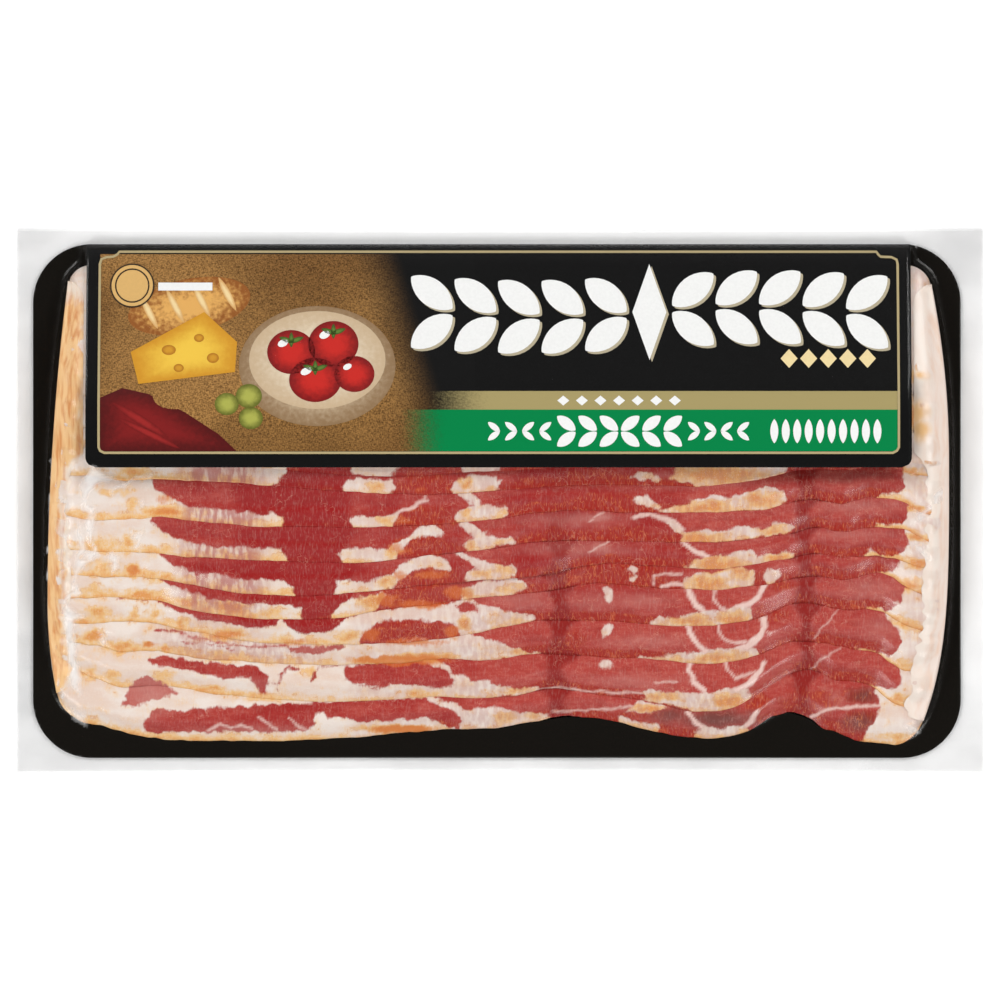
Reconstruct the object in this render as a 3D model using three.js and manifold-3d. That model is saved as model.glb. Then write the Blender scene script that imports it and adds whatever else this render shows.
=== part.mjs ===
// A vacuum pack of sliced bacon, lying flat with its front up.
// A folded board carries twelve rashers, each laid over the one before like roof tiles,
// and its printed flap folds down over the top of the stack. The clear film pouch is
// drawn tight over all of it, and its sealed margin lies flat around the board.
// Millimetres. X runs along the rashers, Y up the front of the pack, Z out of the front.
import * as THREE from "three";
import { mergeVertices } from "three/addons/utils/BufferGeometryUtils.js";
import Module from "manifold-3d";

const wasm = await Module();
wasm.setup();

// The film pouch: two webs sealed round their rim
const POUCH_LENGTH = 280;
const POUCH_WIDTH = 157.5;
const FILM = 0.25;

// The board, which lies a little off the pouch's middle
const BOARD_LENGTH = 269;
const BOARD_WIDTH = 149;
const BOARD_THICKNESS = 0.5;
const BOARD_CORNER = 17;
const BOARD_OFFSET_X = -0.9;
const BOARD_OFFSET_Y = -0.3;
const BOARD_TOP = FILM + BOARD_THICKNESS;
const BOARD_CORNER_STEPS = 8;
const FLAP_CORNER_STEPS = 4;

// The flap, folded over from the board's upper edge
const FLAP_LENGTH = 240;
const FLAP_OFFSET_X = -0.6;
const FLAP_LOWER_EDGE = 9.4;
const FLAP_CORNER = 3;
const FLAP_CLEARANCE = 0.15;
const FLAP_FOLD_HEIGHT = 1.4;
const FLAP_FOLD_INSET = 1;
const FLAP_STEPS = 12;
const FOLD_STEPS = 4;

// The film's slope from the board's edge down to the margin
const TENT_GAP = 0.3;
const TENT_REACH = 2.2;
const TENT_FOOT = 0.1;

// The stack of rashers
const LAYER = 3.2;
const LAYER_GAP = 0.4;
const UPPER_EDGE_OF_FIRST = -28.8;
const UPPER_EDGE_STEP = 8.8;
const SETTLING = 1.4;
const EDGE_BEVEL = 3.2;
const EDGE_LIP = 0.16;
const EDGE_SHOULDER = 0.62;
const UPPER_EDGE_LIP = 0.4;
const UPPER_EDGE_BEVEL = 1.5;
const CORNER_RADIUS = 6;
const END_SLOPE = 8;
const END_HEIGHT = 0.3;
const END_CROWDING = 0.6;
const STATIONS = 28;
const FLAT_ROWS = 4;
const ROWS = FLAT_ROWS + 3;

// Where the lower edge of each rasher lies, from the first one laid to the last, and how
// far it swings at six places along the pack: the left end, a sag left of the middle, a
// rise just right of it, a trough, the crest where the slices bend, and the right end.
const RASHERS = [
  { edge: -67.5, left: 0.6, sag: -2.1, rise: 4.1, trough: -2.2, crest: 5.3, right: -3.4 },
  { edge: -56.3, left: 4.7, sag: -2.1, rise: 0.1, trough: -6, crest: 7.6, right: -2.1 },
  { edge: -45.5, left: 3, sag: -2.4, rise: 0.3, trough: -2.2, crest: 5, right: -2.8 },
  { edge: -37.2, left: 2.3, sag: -5.2, rise: 2.2, trough: 0.7, crest: 7.9, right: 2.2 },
  { edge: -26.7, left: -2.1, sag: -8.5, rise: 1.4, trough: 0.7, crest: 4.9, right: 2.4 },
  { edge: -21.4, left: -0.9, sag: -7, rise: 1.2, trough: 1.5, crest: 5.7, right: 3.7 },
  { edge: -13.2, left: -1.8, sag: -5.5, rise: 1.2, trough: 1, crest: 4.9, right: 4.1 },
  { edge: -4.6, left: -0.4, sag: -3.8, rise: 0.9, trough: 0.9, crest: 4.7, right: 3.6 },
  { edge: 4, left: 3.2, sag: -1.1, rise: -0.2, trough: 0, crest: 5.3, right: 5 },
  { edge: 9.8, left: 4.5, sag: -1, rise: 0.5, trough: 1.5, crest: 6, right: 3 },
  { edge: 21, left: 0, sag: 0, rise: 0, trough: 0, crest: 0, right: 0 },
  { edge: 30, left: 0, sag: 0, rise: 0, trough: 0, crest: 0, right: 0 },
];
const SWINGS = {
  left: { at: -122, reach: 30 },
  sag: { at: -55, reach: 32 },
  rise: { at: 20, reach: 24 },
  trough: { at: 66, reach: 16 },
  crest: { at: 88, reach: 14 },
  right: { at: 124, reach: 16 },
};

// The two ends of the stack, each bulging most at one height and drawn in above and below
const ENDS = {
  left: { bulge: -131, at: -30, upper: 5.5, upperReach: 90, lower: 5, lowerReach: 36, power: 2 },
  right: { bulge: 130, at: 12, upper: -5.6, upperReach: 53, lower: -10, lowerReach: 82, power: 4 },
};

// Colours, and how near two corners of a mesh are when they count as one
const BACON_COLOR = 0xb4544c;
const BACON_ROUGHNESS = 0.45;
const BOARD_COLOR = 0x17130f;
const BOARD_ROUGHNESS = 0.4;
const FILM_COLOR = 0xe9eaec;
const FILM_ROUGHNESS = 0.15;
const FILM_OPACITY = 0.45;
const SAME_POINT = 1e-4;

function material(color, roughness, extra = {}) {
  return new THREE.MeshStandardMaterial({ color, roughness, metalness: 0, ...extra });
}

function mesh(name, geometry, look) {
  const made = new THREE.Mesh(geometry, look);
  made.name = name;
  return made;
}

// A geometry as a closed solid for joining and cutting, and back again
function solidOf(geometry) {
  const loose = geometry.index ? geometry.toNonIndexed() : geometry;
  const bare = new THREE.BufferGeometry();
  bare.setAttribute("position", loose.getAttribute("position"));
  const merged = mergeVertices(bare, SAME_POINT);
  return new wasm.Manifold(
    new wasm.Mesh({
      numProp: 3,
      vertProperties: new Float32Array(merged.getAttribute("position").array),
      triVerts: new Uint32Array(merged.index.array),
    }),
  );
}

function geometryOf(solid) {
  const { vertProperties, triVerts } = solid.getMesh();
  const geometry = new THREE.BufferGeometry();
  geometry.setAttribute("position", new THREE.BufferAttribute(vertProperties, 3));
  geometry.setIndex(new THREE.BufferAttribute(triVerts, 1));
  geometry.computeVertexNormals();
  return geometry;
}

// The smaller of two numbers, rounded off where they are near each other
function softMin(a, b, softness) {
  return (a + b - Math.hypot(a - b, softness)) / 2;
}

// How many rashers lie under a point, counted so that each layer rests on the last:
// laid is how many there are so far, and reach how far the point is in from the upper edge.
function layers(laid, reach) {
  return softMin(laid, reach, SETTLING) - softMin(0, reach, SETTLING);
}

const upperEdge = (index) => UPPER_EDGE_OF_FIRST + index * UPPER_EDGE_STEP;

// Height of the underside and of the upper side of a rasher above the board
function underside(index, y) {
  return LAYER * layers(index, (upperEdge(index) - y) / UPPER_EDGE_STEP);
}

function upperSide(index, y) {
  return LAYER * layers(index + 1, (upperEdge(index) - y) / UPPER_EDGE_STEP + 1);
}

function lowerEdge(index, x) {
  const rasher = RASHERS[index];
  return Object.entries(SWINGS).reduce(
    (y, [name, { at, reach }]) => y + rasher[name] * Math.exp(-(((x - at) / reach) ** 2)),
    rasher.edge,
  );
}

function endLine({ bulge, at, upper, upperReach, lower, lowerReach, power }, y) {
  const above = y > at;
  const share = Math.abs(y - at) / (above ? upperReach : lowerReach);
  return bulge + (above ? upper * share ** 2 : lower * share ** power);
}

// How far along an end's bevel or corner a share of the length has come, from 0 to 1
function fromEnd(share, reach) {
  const length = ENDS.right.bulge - ENDS.left.bulge;
  return Math.min(1, (Math.min(share, 1 - share) * length) / reach);
}

const quarterRound = (share) => Math.sqrt(1 - (1 - share) ** 2);

// The rows across a rasher, from its lower edge to its upper one, each with its thickness
function rowAt(row, width) {
  const inner = (width - EDGE_BEVEL - UPPER_EDGE_BEVEL) / FLAT_ROWS;
  const rows = [
    { from: 0, thickness: EDGE_LIP },
    { from: EDGE_BEVEL / 3, thickness: EDGE_SHOULDER },
    ...Array.from({ length: FLAT_ROWS + 1 }, (_, i) => ({ from: EDGE_BEVEL + i * inner, thickness: 1 })),
    { from: width, thickness: UPPER_EDGE_LIP },
  ];
  return rows[row];
}

// One rasher: a box of cells, each corner moved to where the slice lies on the stack
function rasherGeometry(index) {
  const geometry = new THREE.BoxGeometry(1, 1, 1, STATIONS, ROWS, 1);
  const position = geometry.getAttribute("position");
  for (let i = 0; i < position.count; i++) {
    const u = position.getX(i) + 0.5;
    const row = Math.round((position.getY(i) + 0.5) * ROWS);
    const top = position.getZ(i) > 0;
    const along = u - (END_CROWDING * Math.sin(2 * Math.PI * u)) / (2 * Math.PI);
    const corner = CORNER_RADIUS * (1 - quarterRound(fromEnd(along, CORNER_RADIUS)));
    const straight = THREE.MathUtils.lerp(ENDS.left.bulge, ENDS.right.bulge, along);
    const low = lowerEdge(index, straight) + corner;
    const { from, thickness } = rowAt(row, upperEdge(index) - corner - low);
    const y = low + from;
    const x = THREE.MathUtils.lerp(endLine(ENDS.left, y), endLine(ENDS.right, y), along);
    const end = END_HEIGHT + (1 - END_HEIGHT) * quarterRound(fromEnd(along, END_SLOPE));
    const bottom = end * underside(index, y) + (index ? LAYER_GAP / 2 : 0);
    const full = end * upperSide(index, y) - LAYER_GAP / 2 - bottom;
    position.setXYZ(i, x, y, BOARD_TOP + bottom + (top ? full * thickness : 0));
  }
  geometry.computeVertexNormals();
  return geometry;
}

function rashers() {
  const group = new THREE.Group();
  const look = material(BACON_COLOR, BACON_ROUGHNESS);
  RASHERS.forEach((_, index) => {
    const name = "rasher_" + String(index + 1).padStart(2, "0");
    group.add(mesh(name, rasherGeometry(index), look));
  });
  return group;
}

function roundedRectangle(length, width, radius, ShapeClass = THREE.Shape) {
  const x = length / 2;
  const y = width / 2;
  const shape = new ShapeClass();
  shape.moveTo(x - radius, -y);
  shape.absarc(x - radius, radius - y, radius, -Math.PI / 2, 0);
  shape.absarc(x - radius, y - radius, radius, 0, Math.PI / 2);
  shape.absarc(radius - x, y - radius, radius, Math.PI / 2, Math.PI);
  shape.absarc(radius - x, radius - y, radius, Math.PI, Math.PI * 1.5);
  shape.closePath();
  return shape;
}

// The flap seen from its end: over the stack, down its slope and round the fold
function flapLine() {
  const last = RASHERS.length - 1;
  const plateau = upperSide(last, RASHERS[last].edge);
  const slopeEnd = upperEdge(last);
  const line = [];
  for (let i = 0; i <= FLAP_STEPS; i++) {
    const y = THREE.MathUtils.lerp(FLAP_LOWER_EDGE - FLAP_CORNER, slopeEnd, i / FLAP_STEPS);
    const stack = softMin(plateau + SETTLING / 2, upperSide(last, y) + SETTLING / 2, SETTLING);
    line.push(new THREE.Vector2(y, BOARD_TOP + stack + FLAP_CLEARANCE + BOARD_THICKNESS / 2));
  }
  const end = line[line.length - 1];
  const foldY = BOARD_OFFSET_Y + BOARD_WIDTH / 2 - BOARD_THICKNESS / 2;
  const boardMiddle = FILM + BOARD_THICKNESS / 2;
  const fold = new THREE.QuadraticBezierCurve(
    new THREE.Vector2(foldY, FLAP_FOLD_HEIGHT),
    new THREE.Vector2(foldY, boardMiddle),
    new THREE.Vector2(foldY - FLAP_FOLD_INSET, boardMiddle),
  );
  const fall = new THREE.QuadraticBezierCurve(
    end,
    new THREE.Vector2(foldY, end.y - (foldY - end.x) * (LAYER / UPPER_EDGE_STEP)),
    fold.v0,
  );
  return [...line, ...fall.getPoints(FOLD_STEPS).slice(1), ...fold.getPoints(FOLD_STEPS).slice(1)];
}

// A sheet of the board's thickness along a line, as a closed outline
function sheetOutline(line) {
  const side = (sign) =>
    line.map((point, i) => {
      const along = line[Math.min(i + 1, line.length - 1)].clone().sub(line[Math.max(i - 1, 0)]);
      const across = new THREE.Vector2(-along.y, along.x).setLength((sign * BOARD_THICKNESS) / 2);
      return point.clone().add(across);
    });
  return new THREE.Shape([...side(1), ...side(-1).reverse()]);
}

function foldedBoard() {
  const base = new THREE.ExtrudeGeometry(roundedRectangle(BOARD_LENGTH, BOARD_WIDTH, BOARD_CORNER), {
    depth: BOARD_THICKNESS,
    bevelEnabled: false,
    curveSegments: BOARD_CORNER_STEPS,
  });
  base.translate(BOARD_OFFSET_X, BOARD_OFFSET_Y, FILM);

  const sheet = new THREE.ExtrudeGeometry(sheetOutline(flapLine()), {
    depth: FLAP_LENGTH,
    bevelEnabled: false,
  });
  // The outline's own X is the pack's Y, its Y is Z, and its depth runs along X
  sheet.applyMatrix4(new THREE.Matrix4().set(0, 0, 1, 0, 1, 0, 0, 0, 0, 1, 0, 0, 0, 0, 0, 1));
  sheet.translate(FLAP_OFFSET_X - FLAP_LENGTH / 2, 0, 0);

  // Trims the flap to its lower edge with its two rounded corners
  const trim = new THREE.ExtrudeGeometry(roundedRectangle(FLAP_LENGTH, POUCH_WIDTH, FLAP_CORNER), {
    depth: POUCH_WIDTH,
    bevelEnabled: false,
    curveSegments: FLAP_CORNER_STEPS,
  });
  trim.translate(FLAP_OFFSET_X, FLAP_LOWER_EDGE + POUCH_WIDTH / 2, 0);
  const flap = solidOf(sheet).intersect(solidOf(trim));
  return mesh("folded_board", geometryOf(solidOf(base).add(flap)), material(BOARD_COLOR, BOARD_ROUGHNESS));
}

// The pouch as a closed sheet under the board, with its sealed margin and the film's
// short slope round the board's edge
function filmPouch() {
  const web = new THREE.BoxGeometry(POUCH_LENGTH, POUCH_WIDTH, FILM);
  web.translate(0, 0, FILM / 2);
  const outer = roundedRectangle(
    BOARD_LENGTH + 2 * TENT_REACH,
    BOARD_WIDTH + 2 * TENT_REACH,
    BOARD_CORNER + TENT_REACH,
  );
  outer.holes.push(
    roundedRectangle(
      BOARD_LENGTH + 2 * TENT_GAP,
      BOARD_WIDTH + 2 * TENT_GAP,
      BOARD_CORNER + TENT_GAP,
      THREE.Path,
    ),
  );
  const slope = new THREE.ExtrudeGeometry(outer, {
    depth: BOARD_THICKNESS,
    bevelEnabled: false,
    curveSegments: BOARD_CORNER_STEPS,
  });
  const position = slope.getAttribute("position");
  for (let i = 0; i < position.count; i++) {
    const overX = Math.abs(position.getX(i)) - BOARD_LENGTH / 2;
    const overY = Math.abs(position.getY(i)) - BOARD_WIDTH / 2;
    const cornerX = Math.max(0, overX + BOARD_CORNER);
    const cornerY = Math.max(0, overY + BOARD_CORNER);
    const outside = Math.hypot(cornerX, cornerY) - BOARD_CORNER > (TENT_GAP + TENT_REACH) / 2;
    // The slope's foot is sunk in the web, so that the two join along a face
    const height = position.getZ(i) > 0 ? (outside ? TENT_FOOT : BOARD_THICKNESS) : -FILM / 2;
    position.setZ(i, FILM + height);
  }
  slope.translate(BOARD_OFFSET_X, BOARD_OFFSET_Y, 0);
  const pouch = solidOf(web).add(solidOf(slope));
  const look = material(FILM_COLOR, FILM_ROUGHNESS, { transparent: true, opacity: FILM_OPACITY });
  return mesh("film_pouch", geometryOf(pouch), look);
}

const pack = new THREE.Group();
pack.name = "bacon_pack";
pack.add(filmPouch(), foldedBoard(), rashers());

export default pack;
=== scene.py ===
import math

import bpy
import numpy as np
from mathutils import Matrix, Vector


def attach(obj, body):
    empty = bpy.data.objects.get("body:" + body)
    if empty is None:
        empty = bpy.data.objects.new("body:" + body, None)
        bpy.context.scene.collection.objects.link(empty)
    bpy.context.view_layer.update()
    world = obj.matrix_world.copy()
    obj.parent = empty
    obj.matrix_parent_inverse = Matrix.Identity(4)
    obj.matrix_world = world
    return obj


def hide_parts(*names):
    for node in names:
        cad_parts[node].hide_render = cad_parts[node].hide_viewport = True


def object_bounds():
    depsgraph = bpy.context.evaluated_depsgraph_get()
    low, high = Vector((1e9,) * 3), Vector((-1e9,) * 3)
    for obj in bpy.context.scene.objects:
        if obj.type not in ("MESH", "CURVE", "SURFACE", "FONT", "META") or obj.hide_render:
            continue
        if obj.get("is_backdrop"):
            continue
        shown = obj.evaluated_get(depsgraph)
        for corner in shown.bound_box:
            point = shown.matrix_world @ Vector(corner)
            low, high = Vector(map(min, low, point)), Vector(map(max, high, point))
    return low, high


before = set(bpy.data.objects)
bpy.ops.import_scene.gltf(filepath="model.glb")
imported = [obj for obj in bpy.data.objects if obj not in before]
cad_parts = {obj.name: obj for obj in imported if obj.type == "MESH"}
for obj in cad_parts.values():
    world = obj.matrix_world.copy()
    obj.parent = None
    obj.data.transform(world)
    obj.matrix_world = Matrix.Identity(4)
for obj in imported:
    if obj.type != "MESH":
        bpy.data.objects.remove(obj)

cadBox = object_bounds()
print("frame loaded:", len(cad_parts), "nodes")

metre = 1000.0      # mm in a metre
frameUnit = 0.29    # mm in a thousandth of the camera's picture, in which the patterns are laid out
frameMiddle = (500.0, 499.5)
paintShare = 0.9    # the light is a little more than full, to show the table white, so paints are darker


# colours as they look on screen, 0 to 255, turned into what the shaders take
def paint(red, green, blue):
    return tuple(paintShare * ((c / 255 / 12.92) if c <= 10 else (((c / 255) + 0.055) / 1.055) ** 2.4)
                 for c in (red, green, blue)) + (1.0,)


# picture units to mm, and back
def toMm(x, y):
    return (np.asarray(x, float) - frameMiddle[0]) * frameUnit, (frameMiddle[1] - np.asarray(y, float)) * frameUnit


def toUnits(x, y):
    return x / frameUnit + frameMiddle[0], frameMiddle[1] - y / frameUnit


# smooth random surface, the same on each run: value noise on a grid with eased steps
def softNoise(x, y, size, seed):
    table = np.random.default_rng(seed).random((64, 64))
    gx, gy = np.asarray(x) / size, np.asarray(y) / size
    ix, iy = np.floor(gx).astype(int), np.floor(gy).astype(int)
    fx, fy = gx - ix, gy - iy
    fx, fy = fx * fx * (3 - 2 * fx), fy * fy * (3 - 2 * fy)
    corner = lambda dx, dy: table[(ix + dx) % 64, (iy + dy) % 64]
    low = corner(0, 0) * (1 - fx) + corner(1, 0) * fx
    high = corner(0, 1) * (1 - fx) + corner(1, 1) * fx
    return low * (1 - fy) + high * fy


def makePiece(name, points, faces, material, fields=None, smooth=True):
    mesh = bpy.data.meshes.new(name)
    mesh.from_pydata((np.asarray(points) / metre).tolist(), [], faces)
    mesh.validate()
    for field, values in (fields or {}).items():
        layer = mesh.attributes.new(field, "FLOAT", "POINT")
        layer.data.foreach_set("value", np.asarray(values, np.float32))
    mesh.polygons.foreach_set("use_smooth", [smooth] * len(mesh.polygons))
    mesh.materials.append(material)
    piece = bpy.data.objects.new(name, mesh)
    bpy.context.scene.collection.objects.link(piece)
    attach(piece, "root")
    return piece


# faces of a grid of rows and columns of points, the first of which is number start
def gridFaces(rows, columns, start=0, flip=False):
    faces = []
    for r in range(rows - 1):
        for c in range(columns - 1):
            a = start + r * columns + c
            quad = (a, a + 1, a + columns + 1, a + columns)
            faces.append(quad[::-1] if flip else quad)
    return faces


# shader helpers: each takes sockets or plain numbers, and gives back a socket
class Shader:
    def __init__(self, name):
        self.material = bpy.data.materials.new(name)
        self.material.use_nodes = True
        self.tree = self.material.node_tree
        self.tree.nodes.clear()
        self.output = self.tree.nodes.new("ShaderNodeOutputMaterial")
        self.place = None

    def node(self, kind, inputs=None, **settings):
        made = self.tree.nodes.new("ShaderNode" + kind)
        for key, value in settings.items():
            setattr(made, key, value)
        for key, value in (inputs or {}).items():
            self.feed(made.inputs[key], value)
        return made

    def feed(self, socket, value):
        if isinstance(value, bpy.types.NodeSocket):
            self.tree.links.new(value, socket)
        else:
            socket.default_value = value

    def field(self, name):
        return self.node("Attribute", attribute_name=name).outputs["Fac"]

    def sum(self, a, b, operation="ADD", clamp=False):
        return self.node("Math", {0: a, 1: b}, operation=operation, use_clamp=clamp).outputs[0]

    def product(self, a, b):
        return self.sum(a, b, "MULTIPLY")

    def ramp(self, value, low, high, to=(0.0, 1.0)):
        inputs = {0: value, 1: low, 2: high, 3: to[0], 4: to[1]}
        return self.node("MapRange", inputs, interpolation_type="SMOOTHSTEP").outputs[0]

    def mix(self, share, a, b):
        made = self.node("Mix", data_type="RGBA")
        self.feed(made.inputs[0], share)
        self.feed(made.inputs[6], a)
        self.feed(made.inputs[7], b)
        return made.outputs[2]

    # noise with about scale bumps to the mm, stretched by the three numbers of squeeze
    def noise(self, scale, detail=3.0, squeeze=(1, 1, 1), shift=0.0):
        if self.place is None:
            self.place = self.node("TexCoord").outputs["Object"]
        stretched = self.node("Mapping", {"Vector": self.place}, vector_type="POINT")
        stretched.inputs["Scale"].default_value = tuple(metre * scale * s for s in squeeze)
        stretched.inputs["Location"].default_value = (shift, shift * 0.7, 0)
        return self.node("TexNoise", {"Vector": stretched.outputs[0], "Scale": 1.0, "Detail": detail}).outputs[0]

    def finish(self, surface):
        self.tree.links.new(surface, self.output.inputs["Surface"])
        return self.material


# the stack of rashers, by the same rules as the CAD solids but much finer
stack = {
    "boardTop": 0.75, "layer": 3.2, "gap": 0.03, "settling": 1.4,
    "firstUpperEdge": -28.8, "upperEdgeStep": 8.8,
    "bevel": 6.4, "lip": 0.015, "upperBevel": 1.5, "corner": 6.0, "endSlope": 8.0, "endHeight": 0.3,
    "crowding": 0.6, "fineRow": 0.5, "fineDepth": 17.0,
    "edgeWobble": 0.5, "wobblyFrom": 78.0, "relief": 0.3, "seamDepth": 0.22,
}
# where each lower edge runs, in picture units, from the rasher nearest the board upwards
lowerEdges = [
    [(48, 715), (80, 724), (108, 732), (140, 737), (195, 740), (240, 740), (300, 739), (350, 737), (400, 733), (440, 730),
     (482, 728), (520, 725), (545, 720), (620, 719), (650, 727), (690, 734), (725, 738), (745, 736), (770, 730),
     (790, 716), (803, 712), (820, 715), (850, 728), (880, 738), (900, 742), (948, 744)],
    [(48, 672), (85, 674), (110, 684), (150, 685), (195, 691), (249, 697), (300, 700), (350, 701), (400, 698), (440, 696),
     (482, 698), (520, 695), (552, 688), (600, 694), (660, 701), (714, 711), (745, 707), (800, 673), (820, 669),
     (844, 678), (885, 687), (905, 700), (925, 708), (948, 714)],
    [(48, 648), (85, 643), (125, 652), (150, 650), (195, 657), (249, 661), (300, 664), (350, 664), (400, 662), (450, 658),
     (482, 660), (540, 653), (600, 656), (660, 659), (714, 663), (760, 655), (800, 640), (844, 646), (885, 654),
     (905, 665), (925, 671), (948, 675)],
    [(48, 624), (108, 621), (150, 622), (195, 631), (249, 641), (300, 643), (370, 643), (430, 640), (482, 631), (540, 620),
     (600, 620), (660, 624), (714, 624), (760, 617), (800, 601), (844, 608), (885, 611), (905, 622), (925, 629), (948, 633)],
    [(48, 598), (108, 598), (150, 600), (195, 609), (249, 617), (300, 618), (340, 617), (370, 611), (425, 605), (482, 597),
     (540, 591), (600, 583), (660, 587), (714, 589), (760, 584), (815, 575), (844, 578), (885, 574), (903, 584),
     (925, 593), (948, 597)],
    [(48, 574), (108, 577), (150, 577), (195, 585), (249, 593), (300, 595), (370, 591), (425, 585), (482, 580), (540, 575),
     (600, 563), (660, 566), (714, 568), (760, 563), (790, 557), (815, 553), (844, 557), (885, 556), (903, 560),
     (928, 570), (948, 574)],
    [(48, 548), (108, 552), (150, 552), (195, 556), (249, 559), (300, 561), (370, 562), (425, 555), (482, 549), (540, 541),
     (660, 541), (714, 541), (760, 537), (790, 532), (815, 528), (844, 531), (880, 526), (903, 530), (928, 542), (948, 546)],
    [(48, 514), (108, 519), (150, 517), (195, 520), (249, 525), (300, 526), (370, 527), (425, 525), (482, 520), (540, 512),
     (660, 512), (714, 511), (760, 509), (790, 502), (815, 499), (840, 503), (880, 497), (903, 501), (925, 514), (948, 520)],
    [(48, 472), (108, 478), (195, 480), (249, 484), (300, 488), (370, 492), (430, 494), (482, 491), (540, 487), (600, 484),
     (714, 485), (760, 479), (800, 470), (844, 469), (885, 465), (914, 474), (948, 482)],
    [(48, 445), (108, 450), (195, 462), (300, 470), (370, 476), (440, 474), (482, 471), (540, 468), (600, 466), (714, 462),
     (800, 445), (914, 464), (948, 470)],
    [(48, 427), (500, 427), (948, 430)],
    [(48, 396), (500, 396), (948, 396)],
]
stackEnds = {
    "left": dict(bulge=-131, at=-30, upper=5.5, upperReach=90, lower=5, lowerReach=36, power=2),
    "right": dict(bulge=130, at=12, upper=-5.6, upperReach=53, lower=-10, lowerReach=82, power=4),
}
rasherCount = len(lowerEdges)


def softMin(a, b):
    return (a + b - np.hypot(a - b, stack["settling"])) / 2


def layersUnder(laid, reach):
    return softMin(laid, reach) - softMin(0, reach)


def upperEdge(index):
    return stack["firstUpperEdge"] + index * stack["upperEdgeStep"]


def underside(index, y):
    return stack["layer"] * layersUnder(index, (upperEdge(index) - y) / stack["upperEdgeStep"])


def upperSide(index, y):
    return stack["layer"] * layersUnder(index + 1, (upperEdge(index) - y) / stack["upperEdgeStep"] + 1)


# a smooth curve through points, read at x
def smoothLine(points, x):
    xs, ys = np.array(points, float).T
    slope = np.gradient(ys, xs)
    k = np.clip(np.searchsorted(xs, x) - 1, 0, len(xs) - 2)
    step = xs[k + 1] - xs[k]
    t = np.clip((x - xs[k]) / step, 0, 1)
    return (ys[k] * (1 + 2 * t) * (1 - t) ** 2 + step * slope[k] * t * (1 - t) ** 2
            + ys[k + 1] * t * t * (3 - 2 * t) + step * slope[k + 1] * t * t * (t - 1))


def lowerEdge(index, x):
    _, line = toMm(0, smoothLine(lowerEdges[index], x / frameUnit + frameMiddle[0]))
    wobble = softNoise(x, index * 37.0, 7.0, 11) + 0.5 * softNoise(x, index * 53.0, 2.6, 12) - 0.75
    atEnds = np.clip((np.abs(x + 4) - stack["wobblyFrom"]) / 20, 0, 1)
    return line + stack["edgeWobble"] * (1 + 1.1 * atEnds) * wobble


def endLine(side, y):
    e = stackEnds[side]
    above = y > e["at"]
    share = np.abs(y - e["at"]) / np.where(above, e["upperReach"], e["lowerReach"])
    return e["bulge"] + np.where(above, e["upper"] * share ** 2, e["lower"] * share ** e["power"])


def quarterRound(share):
    return np.sqrt(np.clip(1 - (1 - np.clip(share, 0, 1)) ** 2, 0, 1))


def fromEnd(along, reach):
    length = stackEnds["right"]["bulge"] - stackEnds["left"]["bulge"]
    return np.minimum(1, np.minimum(along, 1 - along) * length / reach)


# height of a rasher's upper face at points d mm in from its lower edge
def topFace(index, along, y, d, width):
    end = stack["endHeight"] + (1 - stack["endHeight"]) * quarterRound(fromEnd(along, stack["endSlope"]))
    low = end * underside(index, y) + (stack["gap"] / 2 if index else 0)
    full = end * upperSide(index, y) - stack["gap"] / 2 - low
    t = np.clip(d / stack["bevel"], 0, 1)
    edge = stack["lip"] + (1 - stack["lip"]) * (0.3 * (1 - (1 - t) ** 2) + 0.7 * t * t * (3 - 2 * t))
    back = 0.4 + 0.6 * np.clip((width - d) / stack["upperBevel"], 0, 1)
    return stack["boardTop"] + low, stack["boardTop"] + low + full * np.minimum(edge, back)


def rasherPlace(index, along, depth):
    straight = stackEnds["left"]["bulge"] + along * (stackEnds["right"]["bulge"] - stackEnds["left"]["bulge"])
    corner = stack["corner"] * (1 - quarterRound(fromEnd(along, stack["corner"])))
    low = lowerEdge(index, straight) + corner
    width = upperEdge(index) - corner - low
    d = depth(width)
    y = low + d
    left, right = endLine("left", y), endLine("right", y)
    return left + along * (right - left), y, d, width


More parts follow.
